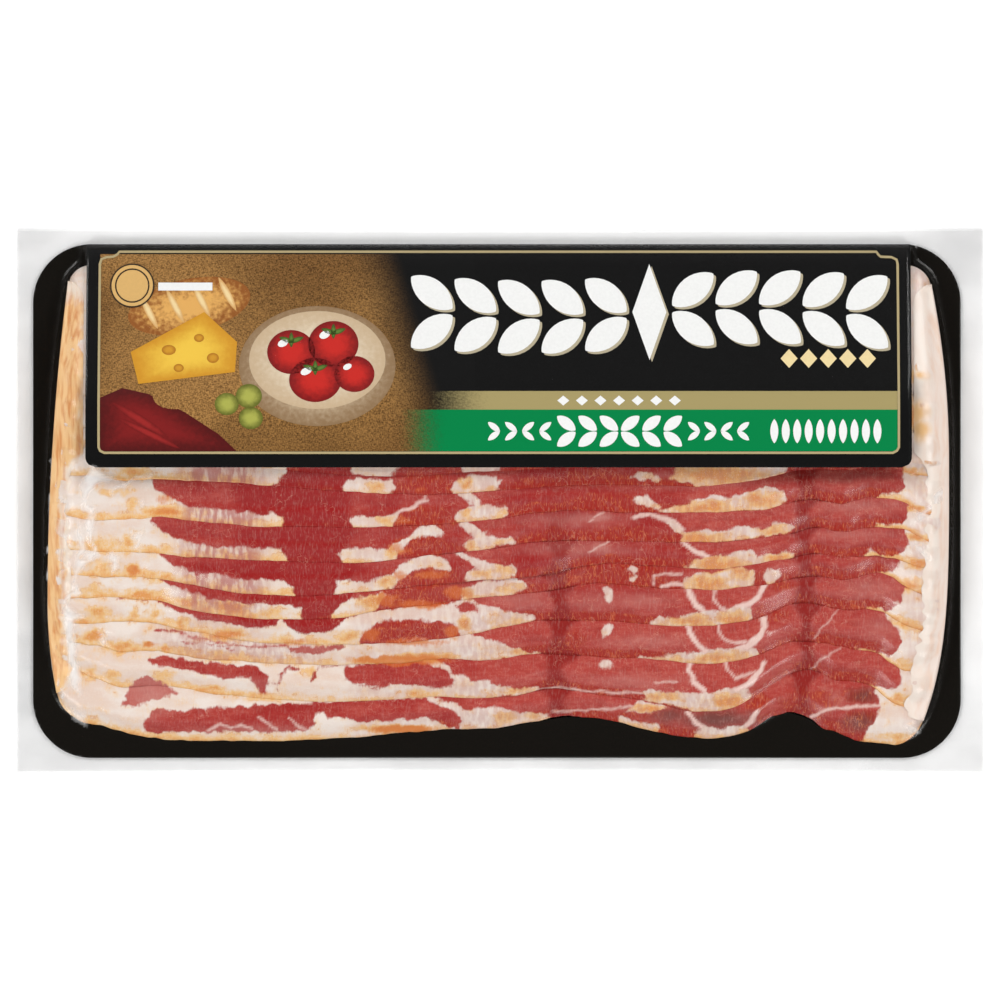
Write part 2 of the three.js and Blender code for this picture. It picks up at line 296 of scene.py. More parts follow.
# what each rasher is made of, in picture units, lean where nothing else is said
# fat, lean: closed patches, the fat ones laid first; veins, leanLines: (half width, points)
palePatch = [(121, 706), (132, 681), (146, 674), (163, 683), (180, 692), (155, 698), (136, 707)]
patterns = {
    10: dict(fat=[[(40, 380), (160, 380), (290, 462), (285, 480), (40, 480)],
                  [(351, 455), (404, 455), (400, 470), (386, 478), (367, 477), (352, 473)],
                  [(464, 455), (500, 455), (502, 470), (480, 474), (464, 472)],
                  [(690, 440), (790, 440), (786, 470), (690, 470)],
                  [(890, 240), (890, 448), (903, 462), (906, 480), (960, 490), (960, 240)]]),
    9: dict(fat=[[(40, 430), (290, 430), (288, 470), (282, 480), (264, 489), (255, 500), (40, 500)],
                 [(344, 488), (348, 481), (358, 479), (372, 480), (392, 479), (396, 485), (390, 495), (365, 500), (345, 492)],
                 [(452, 487), (458, 481), (465, 475), (480, 473), (494, 476), (500, 481), (500, 488), (490, 492),
                  (480, 496), (455, 497)],
                 [(632, 478), (640, 472), (652, 474), (660, 479), (648, 481)],
                 [(668, 478), (676, 466), (690, 450), (792, 450), (782, 472), (765, 478), (740, 483), (715, 487), (695, 484)],
                 [(905, 430), (903, 470), (908, 490), (960, 500), (960, 430)]]),
    8: dict(fat=[[(40, 460), (150, 470), (153, 480), (157, 486), (163, 491), (172, 496), (188, 505), (200, 507), (222, 509),
                  (262, 513), (276, 513), (286, 517), (284, 532), (40, 540)],
                 [(352, 519), (360, 516), (372, 517), (385, 515), (396, 512), (399, 516), (394, 524), (392, 532), (356, 534)],
                 [(455, 486), (466, 489), (474, 495), (483, 502), (492, 506), (505, 507), (508, 512), (504, 517), (493, 519),
                  (481, 522), (466, 525), (456, 521), (454, 514), (460, 509), (471, 506), (477, 505), (468, 500), (458, 493)],
                 [(632, 498), (640, 494), (648, 495), (654, 500), (663, 505), (660, 509), (648, 505), (636, 503)],
                 [(660, 510), (680, 503), (700, 497), (712, 495), (730, 496), (750, 491), (764, 486), (776, 489), (785, 494),
                  (787, 500), (782, 506), (766, 510), (750, 509), (735, 511), (712, 515), (665, 515)],
                 [(904, 455), (903, 478), (901, 487), (895, 492), (882, 494), (870, 498), (874, 508), (912, 530),
                  (960, 540), (960, 455)]],
            veins=[(1.6, [(394, 515), (402, 510), (412, 507), (420, 502), (428, 500)]), (0.9, [(423, 501), (424, 495)])]),
    7: dict(fat=[[(40, 500), (150, 510), (154, 521), (158, 527), (175, 536), (192, 542), (205, 545), (235, 546), (270, 548),
                  (284, 550), (288, 556), (286, 575), (40, 575)],
                 [(338, 554), (344, 549), (352, 548), (362, 550), (372, 548), (388, 549), (398, 544), (408, 536), (416, 528),
                  (424, 524), (433, 525), (443, 531), (442, 535), (425, 535), (414, 539), (404, 546), (396, 556),
                  (388, 570), (345, 570)],
                 [(457, 516), (467, 521), (474, 526), (482, 532), (500, 537), (509, 537), (513, 541), (508, 544), (497, 545),
                  (488, 548), (478, 552), (468, 553), (463, 544), (466, 539), (476, 536), (468, 531), (460, 526)],
                 [(664, 519), (674, 522), (686, 531), (700, 529), (725, 530), (736, 526), (745, 524), (752, 528), (765, 527),
                  (776, 521), (788, 524), (793, 528), (790, 532), (765, 536), (735, 540), (715, 543), (690, 545), (680, 540),
                  (684, 535), (670, 528)],
                 [(905, 490), (906, 512), (904, 518), (899, 523), (888, 526), (877, 522), (872, 529), (905, 540),
                  (925, 560), (960, 560), (960, 490)]],
            veins=[(1.8, [(634, 517), (650, 513), (668, 519), (682, 528)]), (0.6, [(588, 521), (594, 516), (602, 512)])]),
    6: dict(fat=[[(40, 530), (158, 545), (160, 554), (166, 559), (186, 569), (196, 573), (220, 574), (250, 579), (285, 580),
                  (292, 586), (297, 594), (290, 605), (40, 610)],
                 [(335, 588), (338, 580), (350, 581), (375, 579), (390, 574), (400, 567), (410, 560), (420, 555), (430, 553),
                  (440, 556), (447, 562), (452, 570), (444, 570), (430, 567), (418, 569), (406, 574), (394, 583),
                  (385, 596), (360, 602), (338, 600)],
                 [(450, 548), (464, 551), (472, 556), (481, 561), (492, 564), (511, 565), (516, 570), (516, 577), (505, 580),
                  (480, 584), (468, 584), (463, 577), (466, 571), (480, 567), (472, 563), (460, 556)],
                 [(682, 572), (688, 563), (700, 558), (730, 553), (743, 549), (751, 551), (756, 556), (770, 553), (786, 551),
                  (793, 554), (789, 559), (770, 566), (735, 572), (700, 578), (684, 576)],
                 [(906, 520), (905, 545), (902, 551), (894, 555), (878, 555), (870, 548), (862, 557), (903, 566),
                  (925, 585), (960, 590), (960, 520)]],
            veins=[(2.2, [(682, 541), (692, 549), (706, 556)]), (0.6, [(588, 552), (597, 547), (608, 541)])]),
    5: dict(fat=[[(40, 555), (161, 575), (165, 582), (172, 586), (195, 591), (212, 598), (240, 602), (275, 603), (292, 604),
                  (301, 609), (304, 617), (300, 630), (40, 630)],
                 [(330, 614), (340, 606), (347, 600), (360, 596), (384, 591), (389, 594), (384, 600), (376, 607), (374, 618),
                  (335, 624)],
                 [(461, 602), (462, 590), (468, 585), (478, 582), (505, 578), (516, 577), (524, 582), (528, 588), (518, 591),
                  (505, 595), (480, 602)],
                 [(682, 592), (684, 580), (690, 574), (725, 569), (741, 566), (751, 569), (754, 576), (750, 583), (738, 588),
                  (690, 598)],
                 [(766, 570), (777, 568), (778, 575), (773, 584), (764, 586), (763, 575)],
                 [(905, 545), (900, 560), (897, 568), (893, 572), (878, 572), (868, 576), (898, 584), (912, 600),
                  (960, 610), (960, 545)]],
            veins=[(0.9, [(653, 584), (653, 575), (670, 573), (682, 574)]), (1.6, [(662, 585), (674, 583), (684, 585)])]),
    4: dict(fat=[[(40, 590), (163, 600), (168, 606), (186, 613), (196, 617), (215, 620), (245, 626), (262, 628), (276, 626),
                  (284, 617), (288, 623), (296, 631), (312, 634), (330, 631), (338, 624), (345, 618), (362, 612), (380, 609),
                  (400, 607), (450, 604), (460, 598), (475, 600), (484, 606), (510, 611), (533, 616), (535, 620), (524, 623),
                  (495, 630), (480, 636), (465, 638), (458, 630), (456, 622), (440, 620), (400, 618), (384, 620), (370, 627),
                  (362, 634), (362, 655), (40, 655)],
                 [(651, 622), (660, 616), (675, 617), (690, 612), (715, 609), (748, 606), (751, 613), (750, 630), (652, 630)],
                 [(906, 565), (903, 585), (901, 594), (893, 608), (885, 611), (870, 606), (862, 611), (895, 622),
                  (912, 640), (960, 645), (960, 565)]],
            lean=[[(456, 607), (462, 602), (470, 602), (477, 607), (478, 611), (470, 613), (461, 612)]],
            veins=[(2.4, [(687, 586), (690, 596), (696, 605), (704, 611)]), (2.4, [(735, 609), (748, 603), (757, 595), (763, 584)]),
                   (1.4, [(715, 588), (712, 597), (718, 604), (724, 609)])]),
    3: dict(fat=[[(40, 600), (345, 618), (440, 630), (455, 628), (466, 630), (482, 638), (500, 641), (512, 648), (525, 651),
                  (541, 652), (541, 655), (505, 658), (490, 664), (455, 668), (40, 675)],
                 [(626, 660), (640, 656), (652, 657), (670, 654), (700, 651), (735, 649), (750, 647), (758, 652), (755, 668),
                  (640, 668)],
                 [(882, 600), (886, 615), (893, 624), (899, 634), (902, 641), (898, 650), (890, 655), (870, 651), (856, 647),
                  (870, 662), (912, 685), (960, 690), (960, 600)]],
            lean=[[(284, 646), (300, 645), (342, 643), (346, 646), (318, 653), (300, 652), (288, 650)]],
            leanLines=[(1.0, [(156, 630), (175, 631), (190, 635), (217, 641), (243, 646), (284, 645)]),
                       (0.7, [(183, 640), (200, 642), (216, 646), (232, 649)])],
            veins=[(2.6, [(687, 621), (690, 632), (697, 643), (706, 651)]), (3.0, [(735, 650), (748, 645), (758, 637), (764, 626), (763, 619)]),
                   (0.9, [(763, 630), (771, 633)]), (1.3, [(720, 621), (718, 630), (724, 638), (735, 642), (746, 641)]),
                   (0.5, [(815, 638), (822, 626), (829, 619), (837, 610)])]),
    2: dict(fat=[[(40, 630), (430, 655), (445, 664), (456, 672), (470, 679), (485, 680), (500, 684), (520, 687), (537, 687),
                  (538, 692), (500, 696), (470, 703), (440, 710), (40, 715)],
                 [(642, 691), (650, 687), (660, 691), (680, 690), (700, 692), (735, 688), (749, 687), (751, 695), (745, 710),
                  (730, 718), (700, 716), (690, 708), (645, 700)],
                 [(888, 640), (892, 657), (898, 665), (901, 675), (898, 684), (890, 688), (868, 684), (856, 681), (870, 694),
                  (912, 715), (960, 720), (960, 640)]],
            lean=[[(147, 660), (155, 656), (180, 657), (200, 662), (225, 662), (258, 667), (271, 676), (268, 684), (263, 694),
                   (259, 692), (256, 682), (250, 676), (225, 677), (195, 671), (180, 669), (158, 665)],
                  [(343, 666), (360, 664), (400, 660), (430, 662), (450, 671), (458, 678), (455, 684), (445, 688),
                   (415, 684), (400, 684), (385, 686), (355, 682), (347, 680), (345, 672)],
                  palePatch],
            leanLines=[(1.5, [(278, 681), (281, 673), (290, 668), (298, 667)]), (1.2, [(312, 679), (315, 670), (325, 665), (344, 665)]),
                       (0.7, [(360, 684), (370, 686), (379, 689)]), (0.6, [(271, 681), (281, 691)])],
            veins=[(0.9, [(537, 690), (560, 687), (580, 690), (642, 693)]), (2.2, [(691, 661), (688, 670), (693, 680), (704, 690)]),
                   (2.6, [(735, 689), (748, 683), (757, 675), (764, 663)]), (1.2, [(725, 661), (727, 671), (735, 677), (757, 671)]),
                   (0.5, [(812, 668), (820, 660), (830, 652), (838, 647)]), (0.8, [(655, 682), (676, 682)])]),
    1: dict(fat=[[(40, 670), (420, 690), (440, 698), (456, 705), (466, 709), (480, 706), (500, 708), (515, 712), (545, 713),
                  (554, 719), (530, 725), (500, 735), (440, 745), (40, 755)],
                 [(628, 711), (640, 702), (662, 703), (669, 708), (650, 711)], [(620, 714), (634, 719), (658, 724), (660, 740), (620, 728)],
                 [(694, 730), (703, 725), (720, 728), (744, 725), (749, 731), (742, 745), (698, 745)],
                 [(876, 688), (900, 685), (960, 700), (960, 760), (850, 760), (866, 731), (874, 723), (877, 713), (880, 701)]],
            lean=[palePatch,
                  [(143, 731), (144, 723), (148, 715), (156, 708), (172, 710), (200, 708), (240, 706), (300, 702), (400, 698),
                   (422, 697), (434, 701), (458, 712), (462, 719), (458, 727), (440, 722), (428, 717), (400, 718), (365, 722),
                   (355, 722), (345, 717), (328, 717), (325, 712), (313, 714), (316, 722), (308, 730), (230, 731), (160, 732)]],
            veins=[(1.1, [(208, 729), (221, 724), (232, 727), (242, 724), (252, 728)]), (1.0, [(260, 717), (270, 722), (278, 729)]),
                   (1.0, [(289, 717), (297, 724), (304, 728)]), (2.0, [(689, 712), (695, 722), (704, 728)]),
                   (2.0, [(757, 711), (750, 720), (741, 728)]), (0.8, [(552, 711), (600, 709), (632, 706)]),
                   (1.3, [(812, 716), (828, 708), (850, 707), (880, 704)])]),
}
flecks = [(633, 569, 5, 4), (632, 577, 4.5, 4), (608, 594, 6, 7), (608, 630, 5, 6), (606, 663, 7, 4)]

# stretches of smoked fat and of browned lean: middle, reach along and across, strength
smokedFat = [
    (135, 472, 22, 7, 0.7), (118, 492, 22, 5, 0.5), (135, 503, 7, 9, 0.55), (165, 510, 28, 9, 0.85), (208, 514, 20, 6, 0.4),
    (108, 543, 20, 11, 0.55), (130, 543, 10, 12, 0.6), (170, 550, 27, 7, 0.4), (225, 552, 25, 6, 0.35), (100, 567, 18, 10, 0.6),
    (133, 570, 10, 8, 0.9), (170, 578, 32, 5, 0.55), (225, 587, 22, 8, 0.4), (100, 590, 18, 9, 0.5), (138, 593, 22, 6, 0.85),
    (190, 601, 24, 7, 0.7), (230, 608, 26, 9, 0.9), (270, 611, 24, 8, 0.45), (98, 613, 18, 10, 0.6), (135, 615, 10, 7, 0.65),
    (155, 613, 9, 8, 0.75), (180, 624, 15, 7, 0.65), (230, 634, 28, 9, 0.9), (280, 639, 24, 7, 0.5), (325, 641, 34, 6, 0.45),
    (92, 636, 13, 10, 0.9), (120, 646, 22, 8, 0.7), (148, 643, 6, 4, 1.0), (165, 648, 6, 5, 1.0), (225, 656, 28, 7, 0.55),
    (285, 660, 34, 6, 0.4), (310, 670, 9, 9, 0.5), (90, 671, 10, 9, 0.7), (112, 678, 10, 8, 0.6), (163, 676, 17, 8, 0.5),
    (215, 688, 20, 5, 0.5), (262, 697, 42, 5, 0.45), (370, 660, 30, 4, 0.7), (420, 657, 40, 5, 0.95), (425, 693, 24, 5, 0.7),
    (400, 728, 50, 5, 0.95), (110, 732, 34, 5, 0.4), (200, 739, 60, 3, 0.5), (466, 483, 8, 7, 0.8), (466, 512, 8, 8, 0.8),
    (470, 543, 7, 7, 0.7), (480, 574, 16, 7, 0.5), (468, 593, 9, 9, 0.75), (465, 622, 8, 8, 0.85), (505, 590, 16, 7, 0.35),
    (500, 620, 26, 8, 0.35), (495, 652, 24, 8, 0.25), (500, 692, 26, 6, 0.3), (505, 718, 16, 7, 0.55), (380, 487, 13, 7, 0.45),
    (386, 520, 11, 7, 0.55), (392, 553, 9, 8, 0.7), (386, 583, 13, 8, 0.6), (372, 601, 18, 9, 0.85), (350, 637, 18, 9, 0.6),
    (715, 475, 70, 12, 0.8), (762, 500, 26, 9, 0.8), (700, 508, 46, 9, 0.75), (700, 538, 34, 8, 0.8), (770, 530, 24, 7, 0.6),
    (715, 564, 34, 11, 0.85), (705, 583, 26, 10, 0.8), (775, 558, 20, 7, 0.8), (735, 618, 22, 9, 0.9), (690, 621, 28, 8, 0.7),
    (725, 658, 34, 8, 0.8), (665, 696, 24, 6, 0.8), (730, 702, 24, 9, 0.85), (650, 708, 20, 4, 0.8), (912, 507, 14, 5, 0.9),
    (680, 661, 26, 6, 0.55), (735, 738, 20, 6, 0.5), (740, 574, 16, 9, 0.75),
    (916, 536, 15, 5, 0.8), (916, 563, 14, 6, 0.85), (909, 584, 14, 9, 0.95), (905, 622, 18, 9, 0.6), (906, 664, 18, 6, 0.65),
    (900, 697, 14, 8, 0.65), (890, 736, 30, 5, 0.5), (912, 470, 14, 5, 0.6), (490, 489, 14, 6, 0.4), (500, 514, 12, 6, 0.5),
    (500, 542, 12, 6, 0.5), (500, 571, 16, 7, 0.5), (515, 588, 12, 6, 0.5), (515, 620, 14, 7, 0.5), (520, 652, 16, 5, 0.5),
    (520, 688, 16, 6, 0.5), (530, 716, 18, 6, 0.5), (914, 375, 10, 6, 0.6), (912, 415, 10, 22, 0.8),
]
brownedLean = [
    (428, 483, 32, 12, 0.8), (425, 517, 34, 14, 0.9), (425, 546, 34, 12, 0.9), (425, 576, 42, 12, 1.0), (418, 597, 50, 12, 1.1),
    (408, 631, 52, 13, 1.1), (530, 507, 32, 6, 0.8), (600, 503, 46, 10, 0.8), (600, 478, 60, 9, 0.8), (560, 534, 36, 7, 0.8),
    (620, 533, 46, 9, 0.8), (575, 572, 30, 17, 0.7), (625, 573, 44, 13, 0.9), (560, 481, 42, 7, 0.7), (660, 583, 22, 6, 0.6),
    (528, 614, 32, 6, 0.55), (600, 617, 32, 6, 0.55), (574, 640, 20, 12, 0.6), (757, 577, 9, 9, 1.0), (757, 700, 14, 11, 1.0),
    (770, 612, 24, 12, 0.6), (780, 585, 20, 8, 0.6), (810, 700, 40, 14, 0.7), (860, 696, 16, 7, 1.0), (860, 719, 18, 10, 0.9),
    (440, 725, 24, 6, 0.6), (620, 714, 60, 5, 0.6), (775, 720, 22, 10, 0.7), (800, 495, 12, 10, 0.6),
]
murkyLean = [(672, 715, 26, 9, 1.0), (716, 718, 44, 12, 1.2), (863, 695, 17, 9, 1.0), (860, 721, 18, 11, 1.0)]
toastedEdges = [(386, 598, 13, 8, 1.0), (456, 592, 12, 7, 0.9), (371, 634, 11, 7, 1.0), (453, 631, 9, 9, 1.0),
                (400, 660, 54, 5, 1.1), (405, 729, 38, 5, 1.0), (400, 575, 9, 5, 0.7), (398, 548, 10, 5, 0.6),
                (404, 520, 12, 5, 0.5), (432, 574, 18, 5, 0.8), (420, 604, 30, 6, 0.85), (415, 641, 36, 5, 0.8),
                (300, 641, 26, 4, 0.5), (232, 634, 20, 5, 0.5), (168, 499, 12, 5, 0.5), (170, 511, 18, 4, 0.5),
                (134, 570, 8, 5, 0.6), (150, 643, 8, 4, 0.7), (262, 693, 14, 4, 0.4), (96, 484, 8, 4, 0.3)]
paleLean = [(150, 692, 40, 24, 1.0), (220, 640, 60, 12, 0.7), (315, 648, 40, 8, 0.5), (240, 682, 30, 8, 0.4),
            (250, 730, 60, 6, 0.5), (845, 478, 60, 8, 0.2), (860, 506, 50, 8, 0.5), (850, 535, 50, 7, 0.45),
            (870, 590, 40, 12, 0.5), (880, 628, 30, 16, 0.4), (822, 700, 26, 12, 0.9), (575, 520, 60, 8, 0.5), (580, 548, 60, 8, 0.5),
            (520, 600, 40, 10, 0.45), (600, 600, 50, 10, 0.35), (690, 480, 60, 8, 0.4), (597, 517, 17, 6, 1.0),
            (600, 548, 18, 7, 1.0), (640, 600, 40, 9, 0.5), (650, 640, 50, 8, 0.45), (640, 680, 60, 8, 0.4)]


def distanceToLine(x, y, points):
    best = np.full(np.shape(x), 1e9)
    for (ax, ay), (bx, by) in zip(points[:-1], points[1:]):
        dx, dy = bx - ax, by - ay
        t = np.clip(((x - ax) * dx + (y - ay) * dy) / (dx * dx + dy * dy + 1e-9), 0, 1)
        best = np.minimum(best, np.hypot(x - ax - t * dx, y - ay - t * dy))
    return best


# distance into a closed patch, less than nothing outside it
def insidePatch(x, y, points):
    ring = points + points[:1]
    inside = np.zeros(np.shape(x), bool)
    for (ax, ay), (bx, by) in zip(ring[:-1], ring[1:]):
        crosses = (ay > y) != (by > y)
        inside ^= crosses & (x < (bx - ax) * (y - ay) / ((by - ay) or 1e-9) + ax)
    return np.where(inside, 1, -1) * distanceToLine(x, y, ring)


def spots(x, y, places):
    best = np.zeros(np.shape(x))
    for mx, my, rx, ry, strength in places:
        best = np.maximum(best, strength * np.clip(1.25 - np.hypot((x - mx) / rx, (y - my) / ry), 0, 1))
    return best


# gap between two stretches of lean from x0 to x1, wider towards both edges of the row; it dips the surface and is
# painted darker as shade in the valley
def seam(px, row, x0, x1, bulge):
    widen = bulge * (1 - np.sqrt(1 - row ** 2))
    return np.clip((np.minimum(px - x0 + widen, x1 + widen - px) + 2) / 6, 0, 1)


def seams(index, x, y, d):
    px, py = toUnits(x, y)
    own, above = lowerEdge(index, x), lowerEdge(min(index + 1, rasherCount - 1), x)
    row = np.clip(2 * d / np.maximum(above - own, 1) - 1, -1, 1)
    sway = 11 * (softNoise(px, py, 16, 61) - 0.5)
    return np.maximum(seam(px + sway, row, 550, 567, 12) * np.interp(py, [500, 570], [0.2, 1]),
                      seam(px + sway, row, 797, 812, 10))


# the fields that the bacon's material reads, at points of one rasher
def baconFields(index, x, y, d):
    px, py = toUnits(x, y)
    seamShade = seams(index, x, y, d)
    pt = d / frameUnit
    look = patterns.get(index + 1, patterns[10])
    wx = px + 5.5 * (softNoise(px, py, 9, 51) - 0.5) + 3.0 * (softNoise(px, py, 3.6, 52) - 0.5)
    wy = py + 3.6 * (softNoise(px, py, 8, 53) - 0.5) + 2.4 * (softNoise(px, py, 3.4, 54) - 0.5)
    lean = np.minimum(wx - 118, 911 - wx)
    for patch in look["fat"]:
        lean = np.minimum(lean, -insidePatch(wx, wy, patch))
    for patch in look.get("lean", []):
        lean = np.maximum(lean, insidePatch(wx, wy, patch))
    for half, points in look.get("leanLines", []):
        lean = np.maximum(lean, half - distanceToLine(wx, wy, points))
    vein = np.zeros(np.shape(px))
    for half, points in look.get("veins", []):
        away = distanceToLine(px + 0.6 * (wx - px), py + 0.6 * (wy - py), points)
        vein = np.maximum(vein, np.clip((half + 1.1 - away) / 1.8, 0, 1) * min(1, 0.55 + 0.2 * half))
    for fx, fy, rx, ry in flecks:
        lean = np.minimum(lean, (np.hypot((wx - fx) / rx, (wy - fy) / ry) - 1) * min(rx, ry))

    fatEdge = np.interp(px, [60, 140, 260, 345, 395, 470, 600, 690, 790, 900, 930, 940],
                        [0.6, 0.65, 0.6, 0.45, 0.4, 0.35, 0.4, 0.55, 0.5, 0.8, 0.7, 0.1])
    fatEdge = fatEdge * (1 if index < 9 else 0.3)
    edgeReach = np.interp(px, [90, 300, 345, 400, 890, 905], [9.5, 9.5, 6, 5, 5, 7])
    smoke = np.maximum(1.12 * spots(wx, wy, smokedFat), fatEdge * np.clip(1.15 - pt / edgeReach, 0, 1))
    leanEdge = np.interp(px, [150, 350, 400, 500, 530, 690, 705, 790, 800, 815, 895, 905],
                         [0.1, 0.15, 0.3, 0.3, 0.75, 0.75, 0.45, 0.5, 0.8, 1.4, 1.4, 0.5])
    brown = np.maximum(spots(wx, wy, brownedLean), leanEdge * np.clip(2.3 - pt / 4.5, 0, 1))
    # painted shade: the lean darkens along each row's lower edge, where it slopes down onto the row below
    edgeShade = np.clip(1.2 - pt / np.interp(px, [800, 815], [7, 12]), 0, 1)
    edgeShade = edgeShade * np.interp(px, [140, 300, 520, 560, 800, 815], [0.35, 0.35, 0.7, 1, 1, 1.3])
    upperRows = index >= 3
    deepLeft = np.interp(wx, [232, 262, 335, 356], [0, 1, 1, 0]) * (1.0 if upperRows else 0.1)
    deep = deepLeft + np.interp(px, [150, 200, 460, 500, 800, 820], [0.25, 0.5, 0.4, 0.1, 0.1, 0.3])
    deepAbove = np.interp(px, [490, 520, 670, 700, 795, 815], [0.1, 0.6, 0.5, 0.1, 0.3, 0.1])
    deep = deep + deepAbove * np.interp(py, [570, 650], [1, 0])
    haze = np.interp(px, [172, 195, 250, 275], [0, 1, 1, 0]) * upperRows * np.interp(py, [600, 625], [1, 0.2])
    if index == 2:
        haze = np.interp(px, [150, 190, 300, 340], [0, 0.55, 0.55, 0])
    haze = np.maximum(haze, np.interp(px, [345, 360, 450, 465, 790, 810, 900, 915], [0, 0.25, 0.25, 0.42, 0.42, 0.1, 0.1, 0.3]))
    return {"lean": lean * frameUnit, "smoke": smoke, "brown": brown, "deep": deep, "haze": haze, "gap": seamShade,
            "vein": vein, "edgeShade": edgeShade,
            "murk": spots(wx, wy, murkyLean), "pale": spots(wx, wy, paleLean),
            "toast": spots(wx, wy, toastedEdges)}


def baconMaterial():
    s = Shader("cured_bacon")
    ragged = s.noise(0.55, 4)
    fibres = s.noise(0.9, 3, (2.6, 0.55, 1), 3.0)
    fine = s.noise(2.4, 2, (1, 1, 1), 7.0)
    broad = s.noise(0.09, 3, (1, 2.2, 1), 11.0)
    rough = s.sum(s.product(s.sum(ragged, -0.5), 1.5), s.product(s.sum(fibres, -0.5), 1.1))
    leanShare = s.ramp(s.sum(s.field("lean"), s.product(rough, 0.9)), -0.42, 0.44)
    patchy = s.sum(s.product(s.sum(ragged, -0.5), 1.1), s.product(s.sum(fibres, -0.5), 0.9))
    medium = s.sum(s.noise(0.22, 3, (1, 1.5, 1), 41.0), -0.5)
    smoke = s.sum(s.field("smoke"), s.sum(s.product(patchy, 0.5), s.product(medium, 1.35)))
    brown = s.sum(s.field("brown"), s.product(s.sum(patchy, medium), 0.5))

    fat = s.mix(s.ramp(broad, 0.35, 0.65), paint(241, 227, 217), paint(234, 209, 193))
    fat = s.mix(s.ramp(smoke, -0.02, 0.62), fat, paint(240, 194, 132))
    fat = s.mix(s.product(s.ramp(smoke, 0.45, 0.95), 0.9), fat, paint(228, 150, 74))
    outline = s.sum(s.sum(smoke, -0.36), 0.0, "ABSOLUTE")
    fat = s.mix(s.product(s.ramp(outline, 0.06, 0.0), s.ramp(medium, -0.06, 0.1, (0.0, 0.5))), fat, paint(210, 126, 76))
    fat = s.mix(s.product(s.ramp(fine, 0.5, 0.8), 0.35), fat, paint(247, 238, 228))
    fat = s.mix(s.product(s.field("haze"), s.ramp(s.noise(0.5, 3, (1.6, 0.35, 1), 9.0), 0.34, 0.62, (0.2, 0.85))),
                fat, paint(186, 112, 104))
    toast = s.ramp(s.sum(s.field("toast"), s.product(patchy, 0.5)), 0.1, 0.7)
    fat = s.mix(s.product(toast, 0.85), fat, paint(216, 124, 56))

    deep = s.ramp(s.sum(s.field("deep"), s.product(s.sum(broad, -0.5), 1.2)), 0.0, 1.0)
    lean = s.mix(deep, paint(182, 66, 58), paint(158, 18, 19))
    paler = s.ramp(deep, 0.0, 1.0, (0.95, 0.15))
    streaky = s.noise(0.7, 4, (0.5, 1.6, 1), 15.0)
    lean = s.mix(s.product(s.product(s.ramp(streaky, 0.42, 0.72), 0.45), paler), lean, paint(204, 104, 90))
    lean = s.mix(s.product(s.product(s.ramp(fine, 0.52, 0.78), 0.45), paler), lean, paint(214, 130, 114))
    lean = s.mix(s.product(s.ramp(medium, 0.0, 0.16), 0.3), lean, paint(150, 34, 28))
    lean = s.mix(s.product(s.field("pale"), s.ramp(broad, 0.3, 0.7, (0.55, 0.9))), lean, paint(206, 136, 126))
    # painted shade along the lower edge of each row
    lean = s.mix(s.product(s.field("edgeShade"), 0.7), lean, paint(144, 24, 17))
    toasted = s.ramp(s.sum(medium, s.product(patchy, 0.4)), 0.06, 0.36)
    lean = s.mix(s.product(s.ramp(brown, 0.1, 0.6), 0.85), lean, s.mix(toasted, paint(166, 34, 18), paint(204, 88, 40)))
    lean = s.mix(s.product(toast, 0.85), lean, paint(208, 98, 36))
    # painted shade in the valley between two pieces of lean, where the surface dips
    lean = s.mix(s.product(s.field("gap"), 0.9), lean, paint(144, 20, 15))
    lean = s.mix(s.product(s.field("murk"), 0.75), lean, paint(112, 62, 56))
    ridge = s.sum(s.sum(s.noise(0.22, 3, (1, 1, 1), 21.0), -0.5), 0.0, "ABSOLUTE")
    veinShare = s.product(s.ramp(ridge, 0.012, 0.0), s.ramp(s.noise(0.12, 2, (1, 1, 1), 31.0), 0.45, 0.6))
    lean = s.mix(s.product(veinShare, 0.32), lean, paint(230, 164, 142))
    hairs = s.sum(s.sum(s.noise(0.6, 1, (1.6, 0.35, 1), 61.0), -0.5), 0.0, "ABSOLUTE")
    lean = s.mix(s.product(s.product(s.ramp(hairs, 0.03, 0.0), s.ramp(brown, 0.1, 0.5)), 0.45), lean, paint(226, 130, 80))
    lean = s.mix(s.sum(s.field("vein"), s.product(s.sum(fibres, -0.5), 0.5), clamp=True), lean, paint(238, 203, 192))

    colour = s.mix(leanShare, fat, lean)
    height = s.sum(s.product(fine, 0.35), s.sum(s.product(ragged, 0.8), s.product(fibres, 0.5)))
    bump = s.node("Bump", {"Height": height, "Strength": 0.35, "Distance": 0.0004})
    body = s.node("BsdfPrincipled", {"Base Color": colour, "Roughness": 0.42, "Normal": bump.outputs[0]})
    body.inputs["Specular IOR Level"].default_value = 0.35
    return s.finish(body.outputs[0])


bacon = baconMaterial()


